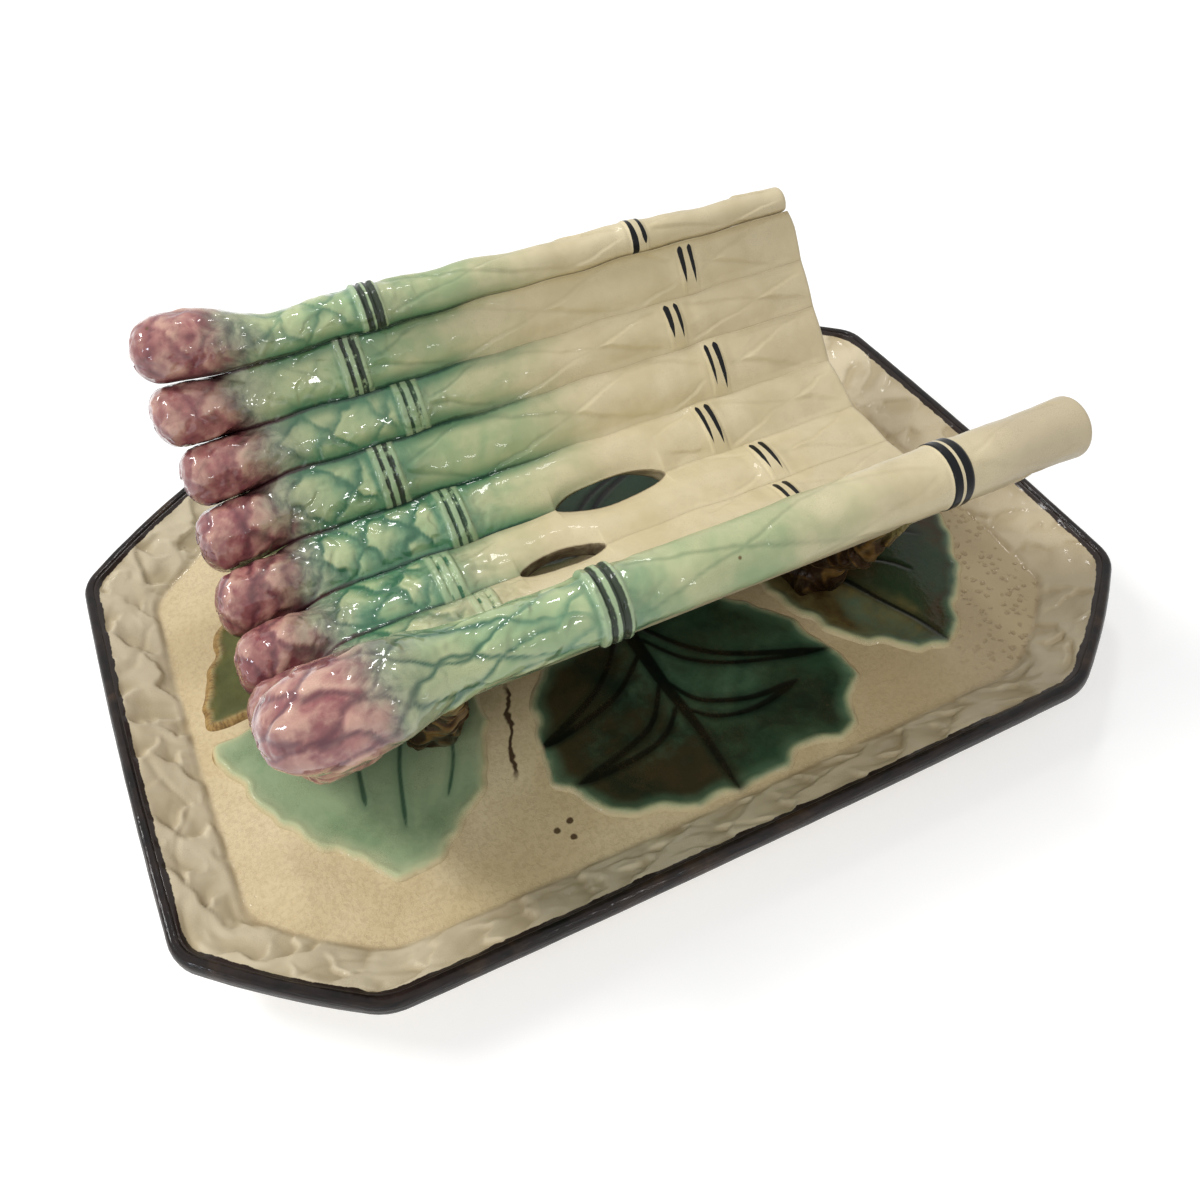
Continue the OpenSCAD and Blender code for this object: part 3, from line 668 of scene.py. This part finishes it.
# All twelve spears: where the tip, collar, band and end of the green lie, and how bold the
# collar's lines, how scaly the bud and how pale the neck is
tip_shares = [0.992, 1, 0.984, 1.004, 1.02, 1.024, 1.036, 0.99, 0.97, 0.96, 0.96, 1.008]
collar_shares = [0.36, 0.448, 0.33, 0.452, 0.32, 0.416, 0.36, 0.44, 0.33, 0.45, 0.34, 0.268]
band_shares = [0.46, 0.604, 0.516, 0.608, 0.516, 0.62, 0.592, 0.516, 0.61, 0.516, 0.61, 0.596]
green_ends = [14.0, -2.0, 10.0, 16.0, 14.0, -22.0, -40.0, -10.0, 4.0, -6.0, 6.0, 44.0]
boldness = [1.5, 0.84, 0.6, 0.72, 0.6, 0.4, 0.4, 0.84, 0.6, 0.72, 0.84, 1.1]
scaliness = [0.4, 0.25, 0.35, 0.7] + [0.9] * 7
paleness = [0.25, 0.4, 0.12, 0.1] + [0] * 7 + [0.22]
slender_bud = {"Bract_length": 18.0, "Bracts_around": 0.5, "Bract_depth": 0.8,
               "Lump_depth": 0.42, "Crease_depth": 0.9}
stout_bud = {"Bract_length": 25.0, "Bracts_around": 1.0, "Bract_depth": 1.1,
             "Lump_depth": 0.25, "Crease_depth": 0.5}
half = trough_length / 2
cut_x, rail_cut_x, fan_x = half, half * 0.97, -half + bud_length
# Each slot lies along a groove: its middle, length and width
slots = {5: (half * 0.14, 45.0, 12.0), 6: (-half * 0.1, 33.0, 8.4)}
undercut, no_slot = 1.6, 20.0


def along(angle):
    """Way across the sheet, toward the back, where it leans by an angle in degrees."""
    return np.array([np.cos(np.radians(angle)), np.sin(np.radians(angle))])


def inward(angle):
    """Way out of the same sheet, toward the trough's hollow."""
    return along(angle + 90)


lean = {i: leans[i - 2] for i in range(2, 12)}
breadth = {i: stalk_breadth * breadth_shares[i - 2] for i in range(2, 12)}
seam = {1: lean[2], 11: lean[11], **{k: (lean[k] + lean[k + 1]) / 2 for k in range(2, 11)}}
grooves = {6: np.array([-3.0, bottom_height])}
for k in range(5, 0, -1):
    grooves[k] = grooves[k + 1] + breadth[k + 1] * along(lean[k + 1])
for k in range(7, 12):
    grooves[k] = grooves[k - 1] - breadth[k] * along(lean[k])


def under_groove(k, i):
    """The way from groove k to the same seam on the outside of spear i."""
    return wall_thickness / np.cos(np.radians(seam[k] - lean[i])) * inward(seam[k])


def groove_at(k, x):
    """Where groove k runs at x: it fans out toward the heads and strays a little."""
    fan = np.where(x > fan_x, 0, (fan_x - x) / (half + fan_x))
    stray = 0.28 * np.sin(x / 9.0 + k * 1.7) + 0.26 * np.sin(x / 4.3 + k * 2.9)
    shift = stray * ramp(cut_x - x, 50) - fan_spread * fan_shares[k - 1] * fan
    return grooves[k] + shift[:, None] * along(seam[k])


def slot_at(k, x):
    """Half width at x of the opening along groove k."""
    middle, length, width = slots.get(k, (0, 1, 0))
    s = np.clip(np.abs(2 * (x - middle) / length), 0, 1)
    return width / 2 * (1 - s * s) ** 0.6


def rings_of(i):
    return -half * collar_shares[i - 1], half * band_shares[i - 1]


def ring_height(i, x):
    """Height of the double ring at the neck and of the flat band near the cut end."""
    near, far = (np.abs(x - ring) for ring in rings_of(i))
    ring = eased(ramp(collar_length / 2 - near, 1.3)) - 0.6 * hump(near - 1.75, 0.55)
    return collar_rise * (ring + 0.5 * eased(ramp(collar_length * 0.4 - far, 1.2)))


def rounded_least(first, second, blend):
    """The lesser of two distances, with the corner between them rounded."""
    share = np.clip(0.5 + 0.5 * (second - first) / blend, 0, 1)
    return second + (first - second) * share - blend * share * (1 - share)


def held_back(reach, centre, ways, k, x, past, blend):
    """Reach from the centre along each way, stopped where it would pass groove k."""
    facing = ways @ past
    room = ((groove_at(k, x) - centre) @ past)[:, None] / np.where(facing > 1e-6, facing, 1e9)
    return np.where(facing > 1e-6, rounded_least(reach, room, blend), reach)


def rows_along(i, tip, bud, blunt, end):
    """Where a spear's sections stand: closer at the tip, rings, slots and cut end."""
    collar_x, band_x = rings_of(i)
    nose = tip + bud * blunt
    step = front_row_step if i == 12 else row_step
    stops = [nose - bud * blunt * np.cos(np.linspace(0.1, np.pi / 2, 22)),
             np.arange(nose + 0.8, end - 1.6, step), np.arange(collar_x - 6, collar_x + 6, 0.4),
             np.arange(band_x - 5.5, band_x + 5.5, 0.5),
             end - cut_rounding * (1 - np.sin(np.linspace(0, np.pi / 2, 6)))]
    for k, (middle, length, _) in slots.items():
        if i in (k, k + 1):
            near_end = length / 2 * (1 - 0.14 * np.linspace(0, 1, 9) ** 2)
            stops += [middle - near_end, middle + near_end]
    x = np.unique(np.round(np.concatenate(stops), 2))
    return x[np.append(True, np.diff(x) > 0.09)]


def points_round(top):
    """Points of a section, in order: over the top, down one side, underneath, up the other.
    Gives each one's part, its share of that part and its angle in degrees."""
    runs = [np.linspace(0, 1, top + 1), *(np.linspace(0, 1, count + 1)[1:] for count in (5, 18, 5))]
    runs[3] = runs[3][:-1]
    part = np.repeat(range(4), [len(run) for run in runs])
    starts, sweeps = (192.857, -12.857, -38.571, -141.429), (205.714, 25.714, 102.857, 25.714)
    share = np.concatenate(runs)
    return part, share, np.choose(part, starts) - np.choose(part, sweeps) * share


def rail_sections(i, x, angle, radius, head, nose, extra):
    """Sections of a round rail that rests on the edge of the wall, and its distance from it."""
    k, toward = (1, 1) if i == 1 else (11, -1)
    t, n = along(seam[k]), inward(seam[k])
    stalk, hang = front_rail_radius, front_bud_hang
    if i == 1:
        from_cut = ramp(rail_cut_x - x, rail_cut_x - rings_of(i)[0])
        stalk, hang = back_rail_thin + (back_rail_stout - back_rail_thin) * from_cut, 0
    r = stalk + (radius - stalk) * head
    seat_share = 0.75 + 0.13 * head
    centre = groove_at(k, x) + (toward * seat_share * r)[:, None] * t - (hang * head)[:, None] * n
    ways = np.cos(np.radians(angle))[:, None] * t + np.sin(np.radians(angle))[:, None] * n
    reach = np.repeat((r * nose + extra)[:, None], len(angle), 1)
    reach = held_back(reach, centre, ways, k, x, -toward * t, rail_blend)
    contact = np.arccos(np.clip(seat_share * r / np.maximum(r * nose, 0.1), -1, 1))
    away = np.arccos(np.clip(ways @ (-toward * t), -1, 1)) - contact[:, None]
    return centre[:, None] + reach[:, :, None] * ways, np.clip(away, 0, 9) * r[:, None]


def wall_sections(i, x, part, share, angle, radius, head, nose, ring, inset):
    """Sections of a spear in the sheet, each point's way to a groove, and the top's breadth."""
    g, h = groove_at(i - 1, x), groove_at(i, x)
    t = (g - h) / np.linalg.norm(g - h, axis=1)[:, None]
    n = np.c_[-t[:, 1], t[:, 0]]
    slot_a, slot_b = slot_at(i - 1, x)[:, None] * t, slot_at(i, x)[:, None] * t
    down = inset[:, None] * n
    a, b = g - slot_a - down, h + slot_b - down
    c = g - under_groove(i - 1, i) - undercut * slot_a + down
    d = h - under_groove(i, i) + undercut * slot_b + down
    width = np.linalg.norm(a - b, axis=1)[:, None]
    # The stalk: a domed top, with a fillet where it meets a rail, and a full underside
    crest = crest_rise * (0.4 + 0.6 * ramp(cut_x - x, cut_x / 2))
    pooled = 0.25 + 0.75 * ramp(x + 50, 90)
    dome, flat_dome = 1 - np.abs(2 * share - 1) ** 2.3, 1 - (2 * share - 1) ** 4
    top = np.hypot(crest[:, None] * dome, pooled[:, None]) + ring[:, None] * flat_dome
    if i in (2, 11):
        size = (fillet + back_fillet_gain * ramp(x, 60) * (i == 2)) * (1 - head)
        top += size[:, None] * np.exp(-(1 - share if i == 2 else share) * width / fillet_reach)
    belly = belly_drop * 4 * share * (1 - share)
    s = share[:, None]
    a, b, c, d, up = (corner[:, None] for corner in (a, b, c, d, n))
    stalk = np.choose(part[:, None], [b + (a - b) * s + top[:, :, None] * up, a + (c - a) * s,
                                      c + (d - c) * s - belly[:, None] * up, d + (b - d) * s])
    # The bud: a knob held between the planes of its two grooves
    centre = (g + h) / 2 + (bud_rise - radius) * n
    ways = np.cos(np.radians(angle))[:, None] * t[:, None] + np.sin(np.radians(angle))[:, None] * up
    reach = np.repeat((radius * nose)[:, None], len(angle), 1)
    reach = held_back(reach, centre, ways, i - 1, x, along(seam[i - 1]), bud_blend)
    reach = held_back(reach, centre, ways, i, x, -along(seam[i]), bud_blend)
    bud = centre[:, None] + reach[:, :, None] * ways
    gutter = np.where(part % 2 == 0, np.minimum(share, 1 - share), 0) * width
    return stalk + (bud - stalk) * head[:, None, None], gutter, width


def stroke_width(i, second, turn, around):
    """Half width of the two brush strokes near the cut end; below zero there is none."""
    if i == 12:
        return np.where(second, 1.5, 1.2)
    if i == 1:
        stroke = ramp(turn + 0.9, 0.4) * ramp(np.where(second, 1.8, 2.6) - turn, 0.3) ** 0.5
        return (stroke - 0.02) * np.where(second, 0.85, 1.1) * np.clip(0.5 + turn / 3, 0.5, 1)
    hand = np.random.default_rng(i).uniform(-0.12, 0.12, 2)
    low_end = np.where(second, 0.66 + hand[0], 0.56 + hand[1])
    stroke = ramp(0.84 - around, 0.12) ** 0.5 * ramp(around + low_end, 0.5) ** 0.6
    stroke = (stroke * (0.72 + 0.3 * around) - 0.02) * (1 + hand[0] * np.where(second, 1.5, -1.5))
    return np.where(np.abs(around) < 0.95, stroke, -1.0)


def spear_piece(i):
    """One spear, lofted through its sections, with the marks that its relief and glaze follow."""
    rail = i in (1, 12)
    tip, end = -half * tip_shares[i - 1], rail_cut_x if rail else cut_x
    collar_x, band_x = rings_of(i)
    bud, radius = bud_length, bud_radius * np.sqrt(breadth.get(i, 0) / stalk_breadth)
    if rail:
        bud = back_bud_length if i == 1 else front_bud_length
        radius = back_bud_radius if i == 1 else front_bud_radius
    blunt = rail_blunt if rail else wall_blunt
    x = rows_along(i, tip, bud, blunt, end)
    part, share, angle = points_round(front_points_over if i == 12 else points_over)
    rows, points = len(x), len(share)
    u = (x - tip) / bud
    head = 0.5 + 0.5 * np.cos(np.pi * ramp(u - full_bud, 1 - full_bud))
    nose = (1 - (1 - ramp(u, blunt)) ** nose_power) ** (1 / nose_power)
    inset = cut_rounding * (1 - np.sqrt(1 - ramp(x - end + cut_rounding, cut_rounding) ** 2))
    ring = ring_height(i, x)
    spread = np.repeat(x, points)
    if rail:
        section, gutter = rail_sections(i, x, angle, radius, head, nose, ring - inset)
        around, inner = np.mod(angle / 60, 6), np.ones(points)
    else:
        section, gutter, width = wall_sections(
            i, x, part, share, angle, radius, head, nose, ring, inset)
        around = np.choose(part, (-1, 1, 1.3, 2.7)) + np.choose(part, (2, 0.3, 1.4, 0.3)) * share
        inner = np.where(part == 0, 1.0, 0.0)
    body = np.c_[spread, section.reshape(-1, 2)]
    if i in (2, 11):
        # The sheet's free corner beside the rail is rounded at the cut end
        by_rail = np.choose(part, [share, 1, 1 - share, 0])
        by_rail = 1 - by_rail if i == 2 else by_rail
        near_end = ramp(x - end + corner_length, corner_length)[:, None]
        near_rail = np.clip(1 - by_rail * width / corner_breadth, 0, 1) * near_end
        body[:, 0] -= (corner_depth * (1 - np.sqrt(1 - near_rail ** 2))).ravel()
    from_collar, from_band, gutter = spread - collar_x, spread - band_x, gutter.ravel()
    around, inner = np.tile(around, rows), np.tile(inner, rows)
    neck = ramp(-from_collar - 5.6, 2.5)
    bud_mask = neck * np.maximum(inner, np.repeat(head, points)) * ramp(gutter, 1.6)
    stalk_mask = inner * (1 - neck) * ramp(gutter, 2.5) * ramp(end - spread - 2, 6)
    stalk_mask *= ramp(np.abs(from_collar) - 6, 3) * ramp(np.abs(from_band) - 5, 3)
    slot_gap = no_slot
    if i in (5, 6, 7):
        stalk_mask *= ramp(np.abs(spread - 6) - 34, 8)
        toward_next = np.choose(part, [share < 0.5, share < 0, share > 0.5, share >= 0])
        opening = np.where(toward_next, slot_at(i, x)[:, None], slot_at(i - 1, x)[:, None]).ravel()
        slot_gap = np.where(opening > 0.3, gutter + (0.45 if i == 5 else 0), no_slot)
    stroke = stroke_width(i, from_band > 0, np.tile(angle / 60, rows), around)
    piece = new_piece(
        f"spear_{i:02d}_piece", body, ring_faces(rows, points), from_tip=spread - tip,
        from_collar=from_collar, from_band=from_band, past_green=spread - green_ends[i - 1],
        around=around, gutter=gutter, inner=inner, bud=bud_mask, stalk=stalk_mask,
        slot_gap=slot_gap, stroke=np.where(inner > 0.5, stroke, -1.0), bold=boldness[i - 1],
        scaly=ramp(-from_collar - 14, 16) if i == 12 else scaliness[i - 1],
        # The front spear's head is painted paler, partly as painted highlight.
        pale=paleness[i - 1], blush=0.32 if i == 12 else 0.1)
    bracts.press(piece, spear_glaze, Lump_size=5.5, Crease_length=70.0, Seed=i,
                 **(stout_bud if i == 12 else slender_bud))
    seat(piece, "spear_glaze", f"spear_{i:02d}")


def overlap(run, across, soft):
    """Scales that overlap toward the tip: their height, the line under each edge, and its crest."""
    heights, lines, crests = [], [], []
    for place in (run + across, run - across):
        phase = bracts.calc("FRACT", place)
        heights.append(phase.fade(0, soft) * (1.0 - phase))
        crests.append(abs(phase - soft).fall(0, soft * 0.6))
        lines.append(bracts.calc("PINGPONG", place, 0.5).fall(0, soft * 0.6))
    return (bracts.calc("SMOOTH_MIN", *heights, 0.15), bracts.calc("MAXIMUM", *lines),
            bracts.calc("MAXIMUM", *crests))


bracts = Relief("Bracts of a spear", "Bract length", "Bracts around", "Bract depth", "Lump size",
                "Lump depth", "Crease length", "Crease depth")
seed = bracts.size("Seed")
around, from_tip, from_collar, bud, stalk, scaly = bracts.marks(
    "around", "from_tip", "from_collar", "bud", "stalk", "scaly")
stray = bracts.grain(48, 3, 0.55, 0, seed) - 0.5
sway = bracts.grain(75, 1, 0.5, 0, seed + 31) - 0.5
scales, scale_line, scale_crest = overlap(
    from_tip / bracts.size("Bract length") + stray * 1.5,
    around * bracts.size("Bracts around") + sway * 0.7, 0.2)
creases, crease_line, _ = overlap(
    from_collar / bracts.size("Crease length") + stray * 0.35, around * 0.5, 0.1)
lumps = bracts.grain(1000.0 / bracts.size("Lump size"), 2, 0.6, 0.9, seed).fade(0.28, 0.72)
knobs = from_tip.fall(18, 40)
bud_height = ((scales - 0.45) * bracts.size("Bract depth") * (scaly + 0.1)
              + (lumps - 0.55) * (knobs + 0.4) * bracts.size("Lump depth"))
hand_made = (bracts.grain(55, 2, 0.5, 0, seed) - 0.6) * 1.5
bracts.keep("high", bud * (scales * 1.3 + lumps * knobs * 0.8))
bracts.keep("crest", bud * scale_crest)
bracts.keep("line", bud * scale_line * scaly + stalk * crease_line)
bracts.lift(bud * (bud_height - 0.3)
            + stalk * ((creases - 0.5) * bracts.size("Crease depth") + hand_made))
bracts.end()

spear = Glaze("asparagus_glaze", 0.36, 0.7, 0.03)
from_tip, from_collar, from_band, past_green, gutter, slot_gap = spear.marks(
    "from_tip", "from_collar", "from_band", "past_green", "gutter", "slot_gap")
high, crest, line, inner, stroke, bold, pale, blush = spear.marks(
    "high", "crest", "line", "inner", "stroke", "bold", "pale", "blush")
cloud, mottle = spear.grain(58, 3, 0.55, 0.3), spear.grain(150, 4, 0.6, 1)
fine = spear.grain(430, 3, 0.6)
shift = cloud * 26.0 - 13.0

# Mauve head: pink on the raised scales, plum between them, in the grooves and at the tip. The front
# head is painted paler, partly as painted highlight, with a painted highlight along the crests of
# its scales
raised = high + fine * 0.6 + blush * 0.9
spear.paint = spear.blend(mottle.fade(0.34, 0.66), (136, 76, 80), (172, 116, 110))
spear.over(raised.fade(0.95, 1.8, 0, 0.8), (206, 164, 146))
spear.over(raised.fall(0.4, 1, 0.7), (96, 44, 52))
spear.over(line * (blush + 0.45), (98, 44, 54))
# Painted highlight: a light line along the crest of each scale, strongest on the front head.
spear.over(crest * cloud.fade(0.3, 0.6) * blush * 1.5, (222, 190, 168))
spear.over(gutter.fall(0.5, 5, 0.8), (88, 36, 42))
spear.over(from_tip.fall(1, 15, 0.8) * mottle.fade(0.3, 0.6), (112, 52, 58))

# Ash, jade and celadon down the neck and the stalk, and butter cream toward the cut end
ash = spear.blend(mottle.fade(0.35, 0.65), (94, 106, 94), (166, 168, 142))
deep_jade = spear.blend(mottle.fade(0.35, 0.7), (72, 120, 90), (116, 152, 116))
light_jade = spear.blend(cloud.fade(0.35, 0.65), (150, 174, 129), (185, 195, 148))
in_light = high * 0.75 + cloud * 0.5 + pale - 0.04
jade = spear.blend(in_light.fade(0.28, 0.75), deep_jade, light_jade)
celadon = spear.blend(cloud.fade(0.35, 0.65), (152, 172, 130), (186, 190, 148))
butter = spear.blend(cloud.fade(0.3, 0.7), (204, 190, 153), (217, 204, 170))
faded = (past_green + shift * 1.1).fade(-46, 16)
green = 1.0 - faded
spear.over((from_tip + shift + mottle * 8).fade(24, 40), ash)
spear.over((from_tip + shift).fade(30, 48), jade)
spear.over((from_collar + shift).fade(-4, 22), celadon)
spear.over(faded, butter)
spear.over(from_band.fade(4, 24) * blush * 2.2, (190, 176, 148))

# Green pooled in the grooves and under the scales, and dark glaze in the joints; in the cream part
# the joints get only a faint painted shade
pool = (gutter + cloud * -3).fall(-1, 4, 0.9)
spear.over(pool * green * from_tip.fade(30, 46), (66, 118, 84))
line_tint = spear.blend(from_tip.fade(28, 44), (76, 52, 60), (38, 92, 66))
spear.over(line * green * from_tip.fade(24, 42, 0.35, 0.85) * from_collar.fade(-5, 5, 1, 0.4),
           line_tint)
spear.over(line * faded * 0.2, (176, 162, 126))
joint = (gutter + fine * -0.9 + mottle * -0.7).fall(-0.45, 0.55)
joint_tint = spear.blend(from_tip.fade(34, 52), (58, 26, 32), (20, 58, 42))
spear.over(joint * (past_green + shift).fall(-46, 2, 0.95), joint_tint)
# Painted shade in the joints of the cream part.
spear.over(joint * faded * 0.15, (166, 148, 112))

# Collar: pale rings with two broken dark lines, which are green where they are faint
spear.over(abs(from_collar).fall(4, 5.2) * inner * 0.55, (178, 196, 154))
collar_line = abs(abs(from_collar) - 1.75 + mottle - 0.5) + fine * 0.4
collar_line = collar_line + bold * from_collar.fade(-1, 1, -0.5, -0.95)
broken = (spear.grain(210, 3, 0.6) + bold * 0.35).fade(0.6, 0.74)
collar_line = collar_line.fall(0.3, 0.8) * broken * inner
spear.over(collar_line * 0.93, spear.blend(bold.fade(0.4, 0.7), (42, 96, 68), (24, 34, 30)))

# Crazing, the edges of the slots darkened brown, and the brush strokes, then a coat that is glossy
# and blebbed on the heads and dull toward the cut ends
spear.craze(0.14)
spear.speck(46, 0.04)
spear.over((slot_gap + mottle * 1.5).fall(0.5, 1.5, 0.9), (74, 50, 32))
ink = (abs(abs(from_band) - 2) + stroke * -1.15 + fine * 0.25).fall(0, 0.22)
spear.over(ink, (16, 17, 20))
blebs = spear.grain(160, 0, 0.5, 1).fade(0.3, 0.7) * from_collar.fade(0, 30, 1, 0.12)
dents = blebs * from_tip.fade(14, 36, 3, 5) + fine * 0.3 + ink * 0.5
gloss = from_collar.fade(-4, 26, 1, 0.18) * collar_line.fade(0, 1, 1, 0.4)
spear_glaze = spear.finish(dents, 0.1, gloss)

for i in range(1, 13):
    spear_piece(i)


# Twig feet. Four gnarled root ends stand on the leaves and run up as twigs along the
# outside of the trough. Ochre and brown glaze fills the furrows of the bark.
foot_distance, foot_radius = 75.0, 11.0
foot_rows, foot_points = 64, 84
# Share of the height, radius and distance from the wall, as shares of the foot's radius
foot_levels = np.array([[0, 0.88, 0.27], [0.05, 1.04, 0.36], [0.16, 1, 0.66], [0.31, 0.86, 0.9],
                        [0.46, 0.64, 0.5], [0.62, 0.5, 0.2], [0.78, 0.4, 0.05],
                        [0.92, 0.28, -0.05], [1, 0.08, -0.05]])
soften = np.array([0.06, 0.12, 0.2, 0.24, 0.2, 0.12, 0.06])

bark = Relief("Furrowed bark", "Furrow width", "Furrow depth")
swirl = bark.grain(42, 1, 0.4, 0.3, bark.size("Seed")) * 24.0 + bark.mark("height") * 6.0
swirl = bark.calc("PINGPONG", swirl * (3.0 / bark.size("Furrow width")), 1.0)
ridge = swirl.fade(0.1, 0.9)
bark.keep("ridge", ridge)
bark.lift((ridge - 0.75) * bark.size("Furrow depth"))
bark.end()

root = Glaze("twig_glaze", 0.35, 0.45, 0.05)
ridge, height, shade = root.marks("ridge", "height", "shade")
cloud, fine = root.grain(60, 3, 0.6, 0.5), root.grain(300, 3, 0.6)
ochre = root.blend(cloud.fade(0.35, 0.65), (112, 78, 34), (164, 126, 66))
# Painted shade: each foot's shade mark darkens its bark, the front feet most, as they stand under
# the trough's front rail.
root.paint = root.blend((ridge + fine * 0.5 + shade * -0.75).fade(0.15, 1), (44, 24, 13), ochre)
# Painted shade at the bottom of each foot, where it stands on the leaf.
root.over((height + cloud * 0.4).fall(0.1, 0.5, 0.9) * (shade + 0.2), (26, 14, 8))
root.over(height.fade(0.72, 0.95, 0, 0.7), (150, 140, 88))
root.craze()
twig_glaze = root.finish(fine + cloud * 0.5, 0.15)


def foot_piece(place, right, back, seed, shade):
    """A root end that narrows to a twig against the trough's outer wall."""
    wall = []
    for k in range(7, 11) if back < 0 else range(5, 1, -1):
        y, z = grooves[k] - under_groove(k, k + 1 if back < 0 else k)
        wall.append((z, abs(y)))
    wall = np.array(wall)
    base = floor_height + leaf_rise
    share = np.linspace(-0.02, 0.985, foot_rows)
    radius, stand = (np.interp(share, foot_levels[:, 0], foot_levels[:, j]) for j in (1, 2))
    radius, stand = (np.convolve(np.pad(values, 3, "edge"), soften, "valid")
                     for values in (radius, stand))
    turn = np.linspace(0, 2 * np.pi, foot_points, endpoint=False)
    points = []
    for s, r, out in zip(share, radius, stand):
        z = base + s * (wall[-1, 0] - base)
        lobes = (1 + 0.09 * np.cos(5 * turn + np.radians(200) * s)
                 + 0.03 * np.cos(3 * turn - 3 * s + seed)) * foot_radius * r
        x = right * foot_distance + lobes * np.cos(turn)
        y = back * (np.interp(z, wall[:, 0], wall[:, 1]) + foot_radius * out)
        points.append(np.c_[x, y + lobes * np.sin(turn), np.full(foot_points, z)])
    piece = new_piece("foot_at_" + place, np.vstack(points), ring_faces(foot_rows, foot_points),
                      height=np.repeat(share, foot_points), shade=shade)
    bark.press(piece, twig_glaze, Furrow_width=3.0, Furrow_depth=1.2, Seed=seed)
    seat(piece, "twig_glaze", "foot_" + place)


# The last number is each foot's painted shade; the front feet stand in the trough's shadow.
foot_piece("front_left", -1, -1, 2, 0.8)
foot_piece("front_right", 1, -1, 7, 1.0)
foot_piece("back_left", -1, 1, 13, 0.5)
foot_piece("back_right", 1, 1, 19, 0.6)


# Studio. A pale table under plain soft light, and the camera where the photograph's
# was. The lamps give the glaze its small bright highlights.
def seen_directly(bench):
    """1 where the camera looks, straight or in a reflection, and 0 for light on the plate."""
    rays = bench.lay("ShaderNodeLightPath").outputs
    direct = bench.calc("MAXIMUM", rays["Is Camera Ray"], rays["Is Glossy Ray"])
    return bench.calc("MAXIMUM", direct, rays["Is Transmission Ray"])


table_reach = 9
table_mesh = bpy.data.meshes.new("table")
table_mesh.from_pydata([(x * table_reach, y * table_reach, 0)
                        for x, y in ((-1, -1), (1, -1), (1, 1), (-1, 1))], [], [(0, 1, 2, 3)])
table = bpy.data.objects.new("table", table_mesh)
bpy.context.scene.collection.objects.link(table)
table_paint = bpy.data.materials.new("table_paint")
table_paint.use_nodes = True
easel = Bench(table_paint.node_tree)
surface = easel.tree.nodes["Principled BSDF"]
surface.inputs["Base Color"].default_value = (0.74, 0.74, 0.74, 1)
surface.inputs["Roughness"].default_value = 0.9
surface.inputs["Specular IOR Level"].default_value = 0.0
place = easel.lay("ShaderNodeTexCoord").outputs["Object"]
far_out = easel.lay("ShaderNodeVectorMath", {0: place}, operation="LENGTH").outputs["Value"]
strength = seen_directly(easel) * Value(easel, far_out).fade(0.25, 1.6, 0.42, 0.78)
glow = easel.lay("ShaderNodeEmission", {"Color": (1, 1, 1, 1), "Strength": strength})
lit = easel.lay("ShaderNodeAddShader", {0: surface.outputs[0], 1: glow.outputs[0]})
easel.tree.links.new(lit.outputs[0], easel.tree.nodes["Material Output"].inputs["Surface"])
table_mesh.materials.append(table_paint)

world = bpy.data.worlds.new("studio_air")
bpy.context.scene.world = world
world.use_nodes = True
air = Bench(world.node_tree)
soft = air.tree.nodes["Background"]
soft.inputs["Color"].default_value = (1, 1, 1, 1)
soft.inputs["Strength"].default_value = 0.34
white = air.lay("ShaderNodeBackground", {"Color": (1, 1, 1, 1), "Strength": 1.0})
shown = air.lay("ShaderNodeMixShader", {0: seen_directly(air), 1: soft.outputs[0],
                                        2: white.outputs[0]})
air.tree.links.new(shown.outputs[0], air.tree.nodes["World Output"].inputs["Surface"])


def lamp(name, direction, distance, width, height, power, tint=(1, 1, 1), mirrored=True):
    """A soft box that looks at the middle of the plate."""
    light = bpy.data.lights.new(name, "AREA")
    light.shape, light.size, light.size_y = "RECTANGLE", width, height
    light.energy, light.color = power, tint
    box = bpy.data.objects.new(name, light)
    bpy.context.scene.collection.objects.link(box)
    aim = Vector(direction).normalized()
    box.location = aim * distance + Vector((0, 0, 0.06))
    box.rotation_euler = aim.to_track_quat("Z", "Y").to_euler()
    box.visible_glossy = mirrored


lamp("key_left", (-0.55, 0.32, 0.77), 1.5, 0.5, 0.5, 8.6, (1.0, 0.985, 0.96), False)
lamp("key_in_front", (-0.36, -0.55, 0.75), 1.6, 0.5, 0.5, 7.4, (1.0, 0.99, 0.98), False)
lamp("lamp_above", (0.15, 0.45, 0.88), 1.2, 0.2, 0.12, 1.9)
lamp("lamp_in_front", (0.15, -0.9, 0.5), 1.3, 0.16, 0.09, 1.2)
lamp("lamp_left", (-0.63, 0.44, 0.6), 1.1, 0.2, 0.14, 2.4)
lamp("window_left", (-0.95, -0.25, 0.35), 1.2, 0.08, 0.24, 1.5, (0.75, 0.85, 1.0))

camera_place = Vector((-0.1139, -0.2599, 0.3190))
yaw, pitch, roll = np.radians([24.05, 47.32, -2.69])
camera_data = bpy.data.cameras.new("camera")
camera_data.sensor_width, camera_data.lens = 36.0, 33.525
camera = bpy.data.objects.new("camera", camera_data)
bpy.context.scene.collection.objects.link(camera)
camera.matrix_world = (Matrix.Translation(camera_place) @ Matrix.Rotation(-yaw, 4, "Z")
                       @ Matrix.Rotation(np.pi / 2 - pitch, 4, "X") @ Matrix.Rotation(roll, 4, "Z"))
bpy.context.scene.camera = camera
bpy.context.scene.view_settings.view_transform = "Standard"
